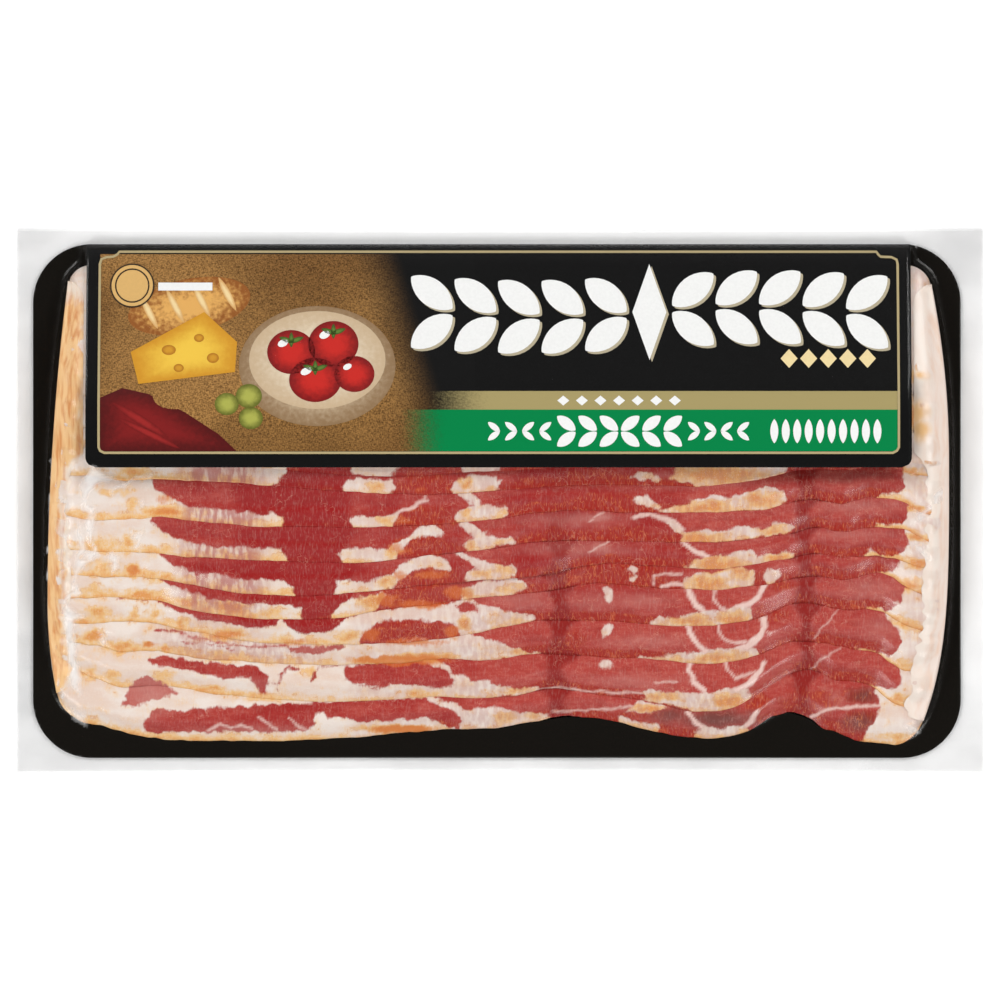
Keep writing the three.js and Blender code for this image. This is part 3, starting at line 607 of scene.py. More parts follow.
def makeRasher(index):
    shown = index < 9
    stations = 521 if shown else 201
    fineStep = stack["fineRow"] if shown else 1.6
    fineRows = int(stack["fineDepth"] / fineStep) + 1
    backRows, underRows = 7, 8
    u = np.linspace(0, 1, stations)
    along = u - stack["crowding"] * np.sin(2 * np.pi * u) / (2 * np.pi)
    points, faces, fields = [], [], {}

    def addRow(depth, top):
        x, y, d, width = rasherPlace(index, along, depth)
        low, high = topFace(index, along, y, d, width)
        z = high if top else low
        if top:
            bumps = softNoise(x, y + index * 91, 5.5, 21) + 0.6 * softNoise(x, y + index * 91, 2.0, 22) - 0.8
            z = z - stack["seamDepth"] * seams(index, x, y, d)
            z = z + stack["relief"] * bumps * np.clip(d / 4, 0.2, 1) * np.clip((width - d - 4) / 4, 0, 1) * 0.5
        points.append(np.stack([x, y, z], 1))
        for name, values in baconFields(index, x, y, d).items():
            fields.setdefault(name, []).append(values)

    for r in range(fineRows):
        addRow(lambda width, r=r: r * fineStep + 0 * width, True)
    for r in range(1, backRows + 1):
        start = (fineRows - 1) * fineStep
        addRow(lambda width, r=r: start + (width - start) * r / backRows, True)
    for r in range(underRows + 1):
        addRow(lambda width, r=r: width * (1 - r / underRows), False)
    rows = len(points)
    faces = gridFaces(rows, stations)
    last = (rows - 1) * stations
    faces += [(last + c, last + c + 1, c + 1, c) for c in range(stations - 1)]
    faces.append([r * stations for r in range(rows)])
    faces.append([r * stations + stations - 1 for r in reversed(range(rows))])
    name = f"rasher{index + 1:02d}"
    joined = {key: np.concatenate(values) for key, values in fields.items()}
    piece = makePiece(name, np.concatenate(points), faces, bacon, joined)
    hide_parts(f"rasher_{index + 1:02d}")
    return piece


for rasherIndex in range(rasherCount):
    makeRasher(rasherIndex)
print("rashers laid:", rasherCount)


# the board and its flap
board = {
    "length": 269.0, "width": 149.0, "thick": 0.5, "corner": 17.0, "offset": (-0.9, -0.3), "film": 0.25,
    "flapLength": 238.6, "flapX": -0.4, "flapLow": 9.4, "flapCorner": 3.0, "clearance": 0.15,
    "foldHeight": 1.4, "foldInset": 1.0, "cornerSteps": 18,
}


def boardMaterial(name, colour, roughness):
    s = Shader(name)
    grain = s.noise(1.6, 3)
    shade = s.mix(s.ramp(grain, 0.3, 0.7), colour, tuple(c * 1.25 for c in colour[:3]) + (1.0,))
    bump = s.node("Bump", {"Height": grain, "Strength": 0.12, "Distance": 0.0002})
    body = s.node("BsdfPrincipled", {"Base Color": shade, "Roughness": roughness, "Normal": bump.outputs[0]})
    body.inputs["Specular IOR Level"].default_value = 0.06
    return s.finish(body.outputs[0])


def roundedOutline(length, width, radius, steps):
    points = []
    for quarter, (sx, sy) in enumerate(((1, -1), (1, 1), (-1, 1), (-1, -1))):
        for k in range(steps + 1):
            angle = math.radians(-90 + quarter * 90 + 90 * k / steps)
            points.append((sx * (length / 2 - radius) + radius * math.cos(angle),
                           sy * (width / 2 - radius) + radius * math.sin(angle)))
    return np.array(points)


def makeBoard():
    low, high, inset = board["film"], board["film"] + board["thick"], 0.12
    rings = []
    for z, shrink in ((low, inset), (low + inset, 0), (high - inset, 0), (high, inset)):
        ring = roundedOutline(board["length"] - 2 * shrink, board["width"] - 2 * shrink,
                              board["corner"] - shrink, board["cornerSteps"])
        rings.append(np.column_stack([ring + np.array(board["offset"]), np.full(len(ring), z)]))
    n = len(rings[0])
    faces = [(k * n + i, k * n + (i + 1) % n, (k + 1) * n + (i + 1) % n, (k + 1) * n + i)
             for k in range(3) for i in range(n)]
    faces += [list(range(n))[::-1], list(range(3 * n, 4 * n))]
    piece = makePiece("boardBase", np.concatenate(rings), faces,
                      boardMaterial("black_coated_board", paint(16, 13, 9), 0.55), smooth=False)
    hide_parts("folded_board")


# the flap's middle line seen from its end, from its lower edge to where it meets the board
def flapMiddle():
    last = rasherCount - 1
    plateau = upperSide(last, lowerEdge(last, 0.0))
    settle = stack["settling"]
    ys = np.linspace(board["flapLow"], upperEdge(last), 70)
    zs = softMin(plateau + settle / 2, upperSide(last, ys) + settle / 2) + stack["boardTop"]
    zs = zs + board["clearance"] + board["thick"] / 2
    foldY = board["offset"][1] + board["width"] / 2 - board["thick"] / 2
    middle = board["film"] + board["thick"] / 2
    slope = stack["layer"] / stack["upperEdgeStep"]

    def bezier(a, b, c, count):
        t = np.linspace(0, 1, count)[1:, None]
        return (1 - t) ** 2 * np.array(a) + 2 * t * (1 - t) * np.array(b) + t ** 2 * np.array(c)

    line = np.column_stack([ys, zs])
    end = line[-1]
    fall = bezier(end, (foldY, end[1] - (foldY - end[0]) * slope), (foldY, board["foldHeight"]), 20)
    fold = bezier((foldY, board["foldHeight"]), (foldY, middle), (foldY - board["foldInset"], middle), 10)
    return np.concatenate([line, fall, fold])


def offsetLine(line, by):
    along = np.gradient(line, axis=0)
    across = np.column_stack([-along[:, 1], along[:, 0]])
    return line + by * across / np.linalg.norm(across, axis=1)[:, None]


flapLine = flapMiddle()
flapTopLine = offsetLine(flapLine, board["thick"] / 2)
topOrder = int(np.argmax(flapTopLine[:, 0])) + 1


# height of the flap's printed face above the table
def flapTop(y):
    return np.interp(y, flapTopLine[:topOrder, 0], flapTopLine[:topOrder, 1])


def makeFlap():
    columns = 61
    points = []
    for line in (flapTopLine, offsetLine(flapLine, -board["thick"] / 2)[::-1]):
        for y, z in line:
            near = np.clip(board["flapCorner"] - (y - board["flapLow"]), 0, board["flapCorner"])
            cut = board["flapCorner"] - math.sqrt(board["flapCorner"] ** 2 - near ** 2)
            half = board["flapLength"] / 2 - cut
            xs = board["flapX"] + np.linspace(-half, half, columns)
            points.append(np.column_stack([xs, np.full(columns, y), np.full(columns, z)]))
    rows = len(points)
    faces = gridFaces(rows, columns)
    last = (rows - 1) * columns
    faces += [(last + c, last + c + 1, c + 1, c) for c in range(columns - 1)]
    half = rows // 2
    for r in range(half - 1):
        for c, turn in ((0, 1), (columns - 1, -1)):
            quad = [r * columns + c, (r + 1) * columns + c, (rows - 2 - r) * columns + c, (rows - 1 - r) * columns + c]
            faces.append(quad[::turn])
    makePiece("flap", np.concatenate(points), faces, boardMaterial("black_printed_board", paint(16, 16, 16), 0.5),
              smooth=False)


makeBoard()
makeFlap()
print("board and flap made")


# the print on the flap: fields of colour and simple shapes that lie on its face
printing = {"lift": 0.05, "frame": (188, 170, 126), "cream": (246, 224, 168),
            "white": (250, 250, 248), "shadow": (190, 178, 150), "disc": (226, 182, 112)}


def inkMaterial(name, colour, variation=0.04):
    s = Shader(name)
    tone = s.ramp(s.noise(1.2, 3), 0.3, 0.7)
    darker = tuple(c * (1 - variation) for c in colour[:3]) + (1.0,)
    body = s.node("BsdfPrincipled", {"Base Color": s.mix(tone, colour, darker), "Roughness": 0.5})
    body.inputs["Specular IOR Level"].default_value = 0.2
    return s.finish(body.outputs[0])


inks = {name: inkMaterial("ink_" + name, paint(*value)) for name, value in printing.items() if name != "lift"}


# one printed piece out of closed outlines in picture units, each filled from its middle outwards
def printShapes(name, outlines, ink, level=1, rings=3):
    points, faces, out = [], [], []
    for outline in outlines:
        xs, ys = toMm(*np.array(outline, float).T)
        ring = np.column_stack([xs, ys])
        middle = ring.mean(axis=0)
        start = sum(len(p) for p in points)
        n = len(ring)
        layers = [middle[None, :]] + [middle + (ring - middle) * k / rings for k in range(1, rings + 1)]
        flat = np.concatenate(layers)
        z = flapTop(flat[:, 1]) + printing["lift"] * level
        points.append(np.column_stack([flat, z]))
        out.append(np.concatenate([[0.0]] + [np.full(n, k / rings) for k in range(1, rings + 1)]))
        faces += [(start, start + 1 + i, start + 1 + (i + 1) % n)[::-1] for i in range(n)]
        for k in range(rings - 1):
            a, b = start + 1 + k * n, start + 1 + (k + 1) * n
            faces += [(a + i, b + i, b + (i + 1) % n, a + (i + 1) % n)[::-1] for i in range(n)]
    return makePiece(name, np.concatenate(points), faces, ink, {"out": np.concatenate(out)})


# a line of even width along points in picture units
def printLine(name, paths, halfWidth, ink, level=1):
    points, faces = [], []
    for path, closed in paths:
        path = np.array(path, float)
        if closed:
            path = np.concatenate([path, path[:1]])
        dense = [path[0]]
        for a, b in zip(path[:-1], path[1:]):
            steps = max(1, int(np.hypot(*(b - a)) / 6))
            dense += [a + (b - a) * (k + 1) / steps for k in range(steps)]
        dense = np.array(dense)
        along = np.gradient(dense, axis=0)
        if closed:
            along[0] = along[-1] = dense[1] - dense[-2]
        across = np.column_stack([-along[:, 1], along[:, 0]])
        across /= np.linalg.norm(across, axis=1)[:, None] + 1e-9
        start = sum(len(p) for p in points)
        both = np.concatenate([dense + across * halfWidth, dense - across * halfWidth])
        xs, ys = toMm(both[:, 0], both[:, 1])
        points.append(np.column_stack([xs, ys, flapTop(ys) + printing["lift"] * level]))
        n = len(dense)
        faces += [(start + i, start + i + 1, start + n + i + 1, start + n + i) for i in range(n - 1)]
    return makePiece(name, np.concatenate(points), faces, ink)


def ellipse(cx, cy, rx, ry, turn=0.0, steps=48):
    a = np.linspace(0, 2 * np.pi, steps, endpoint=False)
    x, y = rx * np.cos(a), ry * np.sin(a)
    t = math.radians(turn)
    return np.column_stack([cx + x * math.cos(t) - y * math.sin(t), cy + x * math.sin(t) + y * math.cos(t)])


def leaf(cx, cy, length, width, turn):
    a = np.linspace(0, 2 * np.pi, 28, endpoint=False)
    x, y = length / 2 * np.cos(a), width / 2 * np.sin(a) * np.abs(np.sin(a)) ** 0.55
    t = math.radians(turn)
    return np.column_stack([cx + x * math.cos(t) - y * math.sin(t), cy + x * math.sin(t) + y * math.cos(t)])


def rectangle(x0, y0, x1, y1):
    xs = np.linspace(x0, x1, 24)
    ys = np.linspace(y0, y1, 8)
    return np.concatenate([np.column_stack([xs, np.full(24, y0)]), np.column_stack([np.full(6, x1), ys[1:-1]]),
                           np.column_stack([xs[::-1], np.full(24, y1)]), np.column_stack([np.full(6, x0), ys[::-1][1:-1]])])


# a field of colour as a fine grid, which fades out from x1 to x0 by its field "fade"
def printField(name, x0, y0, x1, y1, fadeFrom, fadeTo, material, level=0.6, columns=120, rows=40):
    xs, ys = np.meshgrid(np.linspace(x0, x1, columns), np.linspace(y0, y1, rows))
    mx, my = toMm(xs.ravel(), ys.ravel())
    fade = np.clip((xs.ravel() - fadeFrom) / (fadeTo - fadeFrom), 0, 1)
    dim = np.clip((xs.ravel() - 350 - 0.3 * (ys.ravel() - 300)) / 66, 0, 1)
    points = np.column_stack([mx, my, flapTop(my) + printing["lift"] * level])
    return makePiece(name, points, gridFaces(rows, columns, flip=True), material, {"fade": fade, "dim": dim})


# printed sackcloth that fades into the black of the flap by the field "dim"
def sackcloth(s):
    warp = s.noise(3.6, 2, (1.5, 0.35, 1), 2.0)
    weft = s.noise(3.6, 2, (0.35, 1.5, 1), 6.0)
    weave = s.ramp(s.product(warp, weft), 0.12, 0.36)
    cloud = s.ramp(s.noise(0.02, 2), 0.35, 0.65)
    dark = s.mix(cloud, paint(72, 48, 24), paint(104, 72, 38))
    light = s.mix(cloud, paint(146, 104, 56), paint(188, 140, 80))
    cloth = s.mix(weave, dark, light)
    return s.mix(s.ramp(s.field("dim"), 0.0, 1.0), cloth, paint(16, 16, 16))


def fadingInk(name, colour=None):
    s = Shader(name)
    shade = sackcloth(s)
    if colour:
        speckle = s.product(s.sum(s.noise(1.8, 3), -0.5), 0.5)
        shade = s.mix(s.ramp(s.sum(s.field("fade"), speckle), 0.1, 0.9), shade, colour)
    body = s.node("BsdfPrincipled", {"Base Color": shade, "Roughness": 0.5})
    body.inputs["Specular IOR Level"].default_value = 0.08
    return s.finish(body.outputs[0])


# an ink that darkens towards the outline of each shape, by its field "out"
def roundedInk(name, light, dark, speckle=0.25):
    s = Shader(name)
    grain = s.product(s.sum(s.noise(0.8, 4), -0.5), speckle * 2)
    share = s.ramp(s.sum(s.field("out"), grain), 0.25, 1.05)
    body = s.node("BsdfPrincipled", {"Base Color": s.mix(share, paint(*light), paint(*dark)), "Roughness": 0.5})
    body.inputs["Specular IOR Level"].default_value = 0.2
    return s.finish(body.outputs[0])


def diamond(cx, cy, rx, ry):
    corners = np.array([(cx - rx, cy), (cx, cy - ry), (cx + rx, cy), (cx, cy + ry)], float)
    return np.concatenate([corners[[k]] + (corners[[(k + 1) % 4]] - corners[[k]]) * t
                           for k in range(4) for t in (0.0, 0.5)])


stillLife = {
    "cloth": [(101, 398), (124, 388), (150, 394), (186, 412), (220, 434), (238, 451), (170, 451), (101, 451), (101, 438),
              (101, 425), (101, 411)],
    "folds": [(142, 420, 66, 9, 32), (150, 433, 70, 7, 26)],
    "bowl": (318, 366, 78, 60), "bowlInside": (318, 360, 68, 49),
    "tomatoes": [(292, 352, 24, 22), (334, 344, 25, 23), (316, 380, 26, 22), (355, 374, 20, 18)],
    "cheese": [(132, 352), (205, 312), (238, 342), (236, 372), (140, 384)],
    "cheeseHoles": [(170, 350, 7, 5), (200, 338, 5, 4), (214, 358, 6, 5), (180, 368, 5, 4)],
    "loaf": (190, 306, 62, 27, -12), "cuts": [(150, 312), (176, 306), (202, 300), (228, 294)],
    "olives": [(250, 396, 13, 12), (228, 404, 12, 11), (252, 418, 12, 11)],
}


def makeStillLife():
    life = stillLife
    dark, bright = roundedInk("ink_cloth", (132, 26, 26), (84, 14, 14)), roundedInk("ink_cloth_fold", (160, 38, 36), (118, 22, 22))
    printShapes("printedCloth", [life["cloth"]], dark, 1.6, 24)
    printShapes("printedClothFold", [leaf(*fold) for fold in life["folds"]], bright, 2.4, 8)
    printShapes("printedLoaf", [ellipse(*life["loaf"])], roundedInk("ink_crust", (232, 176, 96), (150, 88, 34), 0.7), 1.2, 8)
    printShapes("printedCuts", [leaf(x, y, 38, 7, 62) for x, y in life["cuts"]],
                roundedInk("ink_crumb", (246, 218, 162), (222, 172, 104)), 2)
    printShapes("printedBowl", [ellipse(*life["bowl"])], roundedInk("ink_bowl", (222, 200, 168), (148, 118, 84)), 1.6, 8)
    printShapes("printedBowlInside", [ellipse(*life["bowlInside"])], roundedInk("ink_bowl_inside", (238, 222, 196), (206, 180, 146)), 2, 8)
    printShapes("printedTomatoes", [ellipse(*t) for t in life["tomatoes"]], roundedInk("ink_tomato", (206, 38, 30), (128, 14, 16)), 2.6, 8)
    printShapes("printedShine", [ellipse(x - rx * 0.35, y - ry * 0.4, rx * 0.22, ry * 0.16, -25) for x, y, rx, ry in life["tomatoes"]],
                inks["white"], 3.4)
    printShapes("printedStalks", [leaf(x + dx, y - ry * 0.55, 15, 5, turn) for x, y, rx, ry in life["tomatoes"][:3]
                                  for dx, turn in ((-5, 20), (5, -20), (0, 90))],
                roundedInk("ink_stalk", (96, 128, 48), (60, 84, 30)), 3.4)
    printShapes("printedCheese", [life["cheese"]], roundedInk("ink_cheese", (246, 202, 72), (214, 150, 36), 0.15), 2, 8)
    printShapes("printedCheeseHoles", [ellipse(*hole) for hole in life["cheeseHoles"]], roundedInk("ink_hole", (214, 154, 40), (182, 118, 28)), 2.6)
    printShapes("printedOlives", [ellipse(*o) for o in life["olives"]], roundedInk("ink_olive", (176, 178, 82), (104, 108, 38)), 2, 6)


# a garland of paired leaves along a shallow wave
def garland(x0, x1, y, pairs, length, width, wave=0.0, lean=38):
    shapes = []
    for k in range(pairs):
        share = k / (pairs - 1)
        x, way = x0 + share * (x1 - x0), -1 if share < 0.5 else 1
        mid = y + wave * math.sin(share * 2 * math.pi)
        for up in (-1, 1):
            shapes.append(leaf(x, mid + up * width * 0.72, length, width, up * way * lean))
    return shapes


def makePrint():
    printField("sackclothField", 101, 254, 475, 451, 372, 470, fadingInk("printed_sackcloth"), 0.5, 150, 70)
    printField("goldBand", 418, 391, 896, 409.5, 418, 500, fadingInk("ink_gold_fading", paint(172, 157, 106)), 0.9)
    printField("greenBand", 388, 409.5, 896, 451, 392, 455, fadingInk("ink_green_fading", paint(0, 134, 72)), 0.9)
    # gold frame with notched upper corners and small round lower ones
    frameLine = [(100.5, 447), (100.5, 264), (102, 259), (107, 257), (114, 256.5), (118, 254), (120, 251.5),
                 (876, 251.5), (877.5, 254), (880, 256.5), (891, 257), (896, 259.5), (897, 264), (897, 447),
                 (895, 450.5), (891, 452.5), (106, 452.5), (102, 450.5)]
    printLine("goldFrame", [(frameLine, True)], 1.2, inks["frame"], 4)
    makeStillLife()
    seal = ellipse(133, 285.5, 21, 21)
    printShapes("sealDisc", [seal], inks["disc"], 4, 4)
    printLine("sealRings", [(ellipse(133, 285.5, 21.4, 21.4), True), (ellipse(133, 285.5, 16.5, 16.5), True)], 0.7,
              inkMaterial("ink_seal_ring", paint(52, 38, 24)), 5)
    printShapes("blankPanel", [rectangle(159, 282.5, 213, 290.5)], inks["white"], 4)
    leaves = garland(432, 866, 312, 11, 52, 27, 5)
    leaves = [shape for shape in leaves if abs(np.mean(shape[:, 0]) - 649) > 20] + [diamond(649, 312, 17, 48)]
    printShapes("garlandShadow", [np.asarray(shape) + (2.4, 2.2) for shape in leaves], inks["shadow"], 1.5)
    printShapes("garland", leaves, inks["white"], 2.5)
    printShapes("creamDiamonds", [diamond(788 + 19.5 * k, 358.5, 8.5, 9.5) for k in range(5)], inks["cream"], 2)
    printShapes("bandDiamonds", [diamond(563 + 18.5 * k, 400.5, 6, 5) for k in range(7)], inks["white"], 2)
    small = garland(494, 545, 431, 4, 15, 6) + garland(693, 742, 431, 4, 15, 6) + garland(566, 672, 431, 6, 23, 11)
    printShapes("bandGarland", small, inks["white"], 2)
    printShapes("bandBars", [leaf(773 + 11.4 * k, 431, 24, 8, 90) for k in range(10)], inks["white"], 2)


makePrint()
print("print laid on the flap")


# the clear film
film = {
    "length": 280.0, "width": 157.5, "step": 0.7, "stand": 0.14, "relax": 6, "gloss": 0.45, "margin": 0.34,
    "wave": 0.28, "bow": 0.55, "crinkle": 7.0,
    # how grey the sealed margin is, part the film's own haze and part painted shade, at these y on its sides and at
    # these distances from the middle above and below
    "greyLeft": ([-76, -58, 0, 58, 77], [0.48, 0.6, 0.25, 0.4, 0.63]),
    "greyRight": ([-76, -40, 0, 30, 60, 77], [0.42, 0.2, 0.0, 0.0, 0.4, 0.55]),
    "greyAbove": ([112, 138], [0.07, 0.62]), "greyBelow": ([112, 138], [0.36, 0.48]),
}


def contentsTop(x, y):
    h = np.full(x.shape, film["margin"])
    bx, by = np.abs(x - board["offset"][0]), np.abs(y - board["offset"][1])
    cx = np.maximum(0, bx - board["length"] / 2 + board["corner"])
    cy = np.maximum(0, by - board["width"] / 2 + board["corner"])
    onBoard = (np.hypot(cx, cy) < board["corner"]) & (bx < board["length"] / 2) & (by < board["width"] / 2)
    h = np.where(onBoard, stack["boardTop"], h)
    for index in range(rasherCount):
        left, right = endLine("left", y), endLine("right", y)
        along = np.clip((x - left) / (right - left), 0, 1)
        straight = stackEnds["left"]["bulge"] + along * (stackEnds["right"]["bulge"] - stackEnds["left"]["bulge"])
        corner = stack["corner"] * (1 - quarterRound(fromEnd(along, stack["corner"])))
        low = lowerEdge(index, straight) + corner
        width = upperEdge(index) - corner - low
        d = y - low
        _, top = topFace(index, along, y, np.clip(d, 0, None), width)
        inside = (d >= 0) & (d <= width) & (x >= left) & (x <= right)
        h = np.where(inside, np.maximum(h, top), h)
    half = board["flapLength"] / 2
    onFlap = (y >= board["flapLow"]) & (np.abs(x - board["flapX"]) <= half) & (y <= flapTopLine[topOrder - 1, 0])
    return np.where(onFlap, np.maximum(h, flapTop(y) + 3 * printing["lift"]), h)


def relaxed(height, rounds):
    soft = height.copy()
    for _ in range(rounds):
        spread = np.pad(soft, 1, mode="edge")
        around = (spread[:-2, 1:-1] + spread[2:, 1:-1] + spread[1:-1, :-2] + spread[1:-1, 2:]) / 4
        soft = np.maximum(height, around)
    return soft


# the pressed ends of the stack: smooth bands that hide the steps, reach in mm
endBands = {
    "left": dict(reach=6.4, stations=17, lowest=-56.0, highest=63.5, taper=12.0, outer=(246, 200, 142), streak=(222, 150, 88),
                 inner=(240, 222, 204), streaks=(1.3, 0.12, 1), smokedBeside=0.38,
                 turns=(0.5, 0.9), smoked=[]),
    "right": dict(reach=7.0, stations=17, lowest=-64.0, highest=62.5, taper=7.0, outer=(240, 222, 210), streak=(236, 206, 186),
                  inner=(242, 228, 216), streaks=(0.7, 0.1, 1), smokedBeside=0.0,
                  turns=(0.35, 0.7), smoked=[(917, 375, 15, 6, 0.6), (914, 412, 16, 18, 0.8), (919, 430, 12, 14, 0.85)]),
    "rows": 330, "over": 0.05, "ragged": 2.0, "besideFlap": 4.5, "offFlap": 0.5, "upperTaper": 6.0,
    "fades": 14.0,
}


def makeEndBand(side):
    look, rows, stations = endBands[side], endBands["rows"], endBands[side]["stations"]
    s = Shader("pressed_fat_" + side)
    tone = s.ramp(s.noise(0.6, 3, look["streaks"], 5.0), 0.4, 0.7)
    outer = s.mix(tone, paint(*look["outer"]), paint(*look["streak"]))
    ragged = s.product(s.sum(s.noise(0.4, 3, (1, 0.5, 1), 8.0), -0.5), 0.8)
    inward = s.ramp(s.sum(s.field("inward"), ragged), *look["turns"])
    inner = s.mix(s.product(tone, 0.3), paint(*look["inner"]), paint(*look["streak"]))
    smoked = s.ramp(s.sum(s.field("smoke"), ragged), 0.1, 0.85)
    colour = s.mix(smoked, s.mix(inward, outer, inner), paint(240, 192, 134))
    body = s.node("BsdfPrincipled", {"Base Color": colour, "Roughness": 0.42})
    body.inputs["Specular IOR Level"].default_value = 0.35
    material = s.finish(body.outputs[0])
    ys = np.linspace(look["lowest"], look["highest"], rows)
    way = 1 if side == "left" else -1
    reach = look["reach"] + endBands["ragged"] * (softNoise(ys, 0 * ys, 5.0, 71) + softNoise(ys, 0 * ys, 1.7, 72) - 1)
    reach = reach + endBands["besideFlap"] * np.clip((ys - board["flapLow"]) / 8, 0, 1)
    room = way * (board["flapX"] - way * board["flapLength"] / 2 - endLine(side, ys)) - endBands["offFlap"]
    reach = np.where(ys > board["flapLow"] - 1, np.minimum(reach, room), reach)
    reach = reach * quarterRound((ys - look["lowest"]) / look["taper"])
    reach = reach * quarterRound((look["highest"] - ys) / endBands["upperTaper"])
    share = np.linspace(0, 1, stations)
    x = endLine(side, ys)[:, None] + way * (share[None, :] * reach[:, None] - 0.2)
    y = np.repeat(ys[:, None], stations, axis=1)
    z = relaxed(contentsTop(x, y), 60)
    kernel = np.exp(-np.linspace(-2, 2, 31) ** 2)
    smooth = np.stack([np.convolve(np.pad(column, 15, mode="edge"), kernel / kernel.sum(), "valid") for column in z.T], 1)
    settle = 1 - np.clip((share[None, :] - 0.75) / 0.25, 0, 1) ** 2
    z = z + np.maximum(smooth - z, 0) * settle + endBands["over"]
    z[:, 0] = stack["boardTop"]
    inward = share[None, :] * (1 - look["smokedBeside"] * np.clip((ys[:, None] - board["flapLow"]) / 6, 0, 1))
    inward = np.maximum(inward, 1.1 - (look["highest"] - ys[:, None]) / endBands["fades"])
    points = np.column_stack([x.ravel(), y.ravel(), z.ravel()])
    makePiece("endBand" + side.capitalize(), points, gridFaces(rows, stations, flip=side == "left"), material,
              {"inward": inward.ravel(), "smoke": spots(*toUnits(x, y), look["smoked"]).ravel()})


for bandSide in ("left", "right"):
    makeEndBand(bandSide)
print("bands made at the ends of the stack")


# white glints in the film: whiteness and outline in picture units
glints = [
    (0.5, [(92, 468), (98, 470), (108, 476), (120, 479), (110, 483), (98, 482), (90, 488), (88, 500), (84, 494), (84, 480)]),
    (0.4, [(88, 500), (92, 504), (96, 520), (93, 532), (88, 522)]),
    (0.42, [(80, 520), (84, 524), (86, 545), (84, 556), (94, 550), (97, 554), (84, 568), (78, 584), (73, 582), (78, 552)]),
    (0.48, [(64, 612), (71, 602), (76, 612), (86, 615), (77, 621), (73, 632), (77, 652), (82, 680), (78, 692), (71, 676),
            (67, 650)]),
    (0.35, [(60, 500), (66, 498), (68, 540), (64, 590), (60, 560)]),
    (0.7, [(112, 552), (117, 556), (118, 566), (114, 574), (112, 566), (113, 560)]),
    (0.65, [(134, 532), (141, 534), (142, 546), (137, 550), (139, 541)]),
    (0.6, [(102, 628), (107, 631), (104, 637), (108, 643), (103, 646), (100, 640), (104, 634)]),
    (0.5, [(140, 500), (143, 500), (141, 506)]), (0.5, [(940, 488), (944, 492), (934, 508), (922, 516), (918, 513), (930, 504)]),
    (0.35, [(908, 540), (922, 544), (926, 556), (916, 552)]), (0.45, [(912, 508), (926, 516), (918, 518)]),
    (0.5, [(902, 722), (916, 727), (918, 734), (906, 732)]), (0.4, [(70, 706), (84, 716), (88, 726), (74, 718)]),
]
# raised creases: half width and height in mm, whiteness (a painted highlight along the crease), points in picture units
creases = [
    (0.5, 0.5, 0.5, [(87, 499), (93, 508), (96, 519), (92, 529), (95, 543), (93, 553), (86, 560)]),
    (0.5, 0.5, 0.45, [(80, 586), (74, 596), (67, 603), (73, 610), (78, 618), (86, 617)]),
    (0.5, 0.4, 0.5, [(66, 622), (67, 640), (71, 660), (77, 678), (76, 690)]),
    (0.3, 0.15, 0.55, [(54, 456), (52, 500), (50, 560), (51, 620), (56, 670), (62, 700)]),
    (0.5, 0.4, 0.3, [(150, 474), (136, 480), (124, 482), (112, 492)]),
    (0.35, 0.3, 0.08, [(402, 636), (410, 638), (418, 636), (426, 637)]),
]


def filmMaterial():
    s = Shader("clear_film")
    facing = s.node("LayerWeight", {"Blend": 0.5}).outputs["Facing"]
    gloss = s.sum(s.product(s.sum(facing, 5.0, "POWER"), 0.96), 0.035)
    # this field holds the film's own haze on the margin and the back, and painted highlights along creases and at
    # glints; where it rises the film turns from mirror to white diffuse
    hazeAndGlint = s.field("hazeAndGlint")
    share = s.sum(s.product(gloss, film["gloss"]), hazeAndGlint, clamp=True)
    mirror = s.ramp(hazeAndGlint, 0.02, 0.06, (1.0, 0.0))
    # the margin's grey: part the film's own haze, part painted shade, in blotches as of crumpled film
    crumpled = s.ramp(s.noise(0.05, 4, (1, 1.6, 1), 51.0), 0.35, 0.65, (0.6, 1.0))
    greyAndShade = s.mix(s.product(s.field("greyAndShade"), crumpled), (0.985, 0.985, 0.985, 1), (0.6, 0.6, 0.605, 1))
    clear = s.node("BsdfTransparent", {"Color": greyAndShade})
    ripple = s.noise(0.25, 3)
    bump = s.node("Bump", {"Height": ripple, "Strength": 0.25, "Distance": 0.0006})
    body = s.node("BsdfPrincipled", {"Base Color": (0.99, 0.98, 0.965, 1), "Roughness": 0.18, "Metallic": mirror,
                                     "Normal": bump.outputs[0]})
    mixed = s.node("MixShader", {0: share, 1: clear.outputs[0], 2: body.outputs[0]})
    return s.finish(mixed.outputs[0])


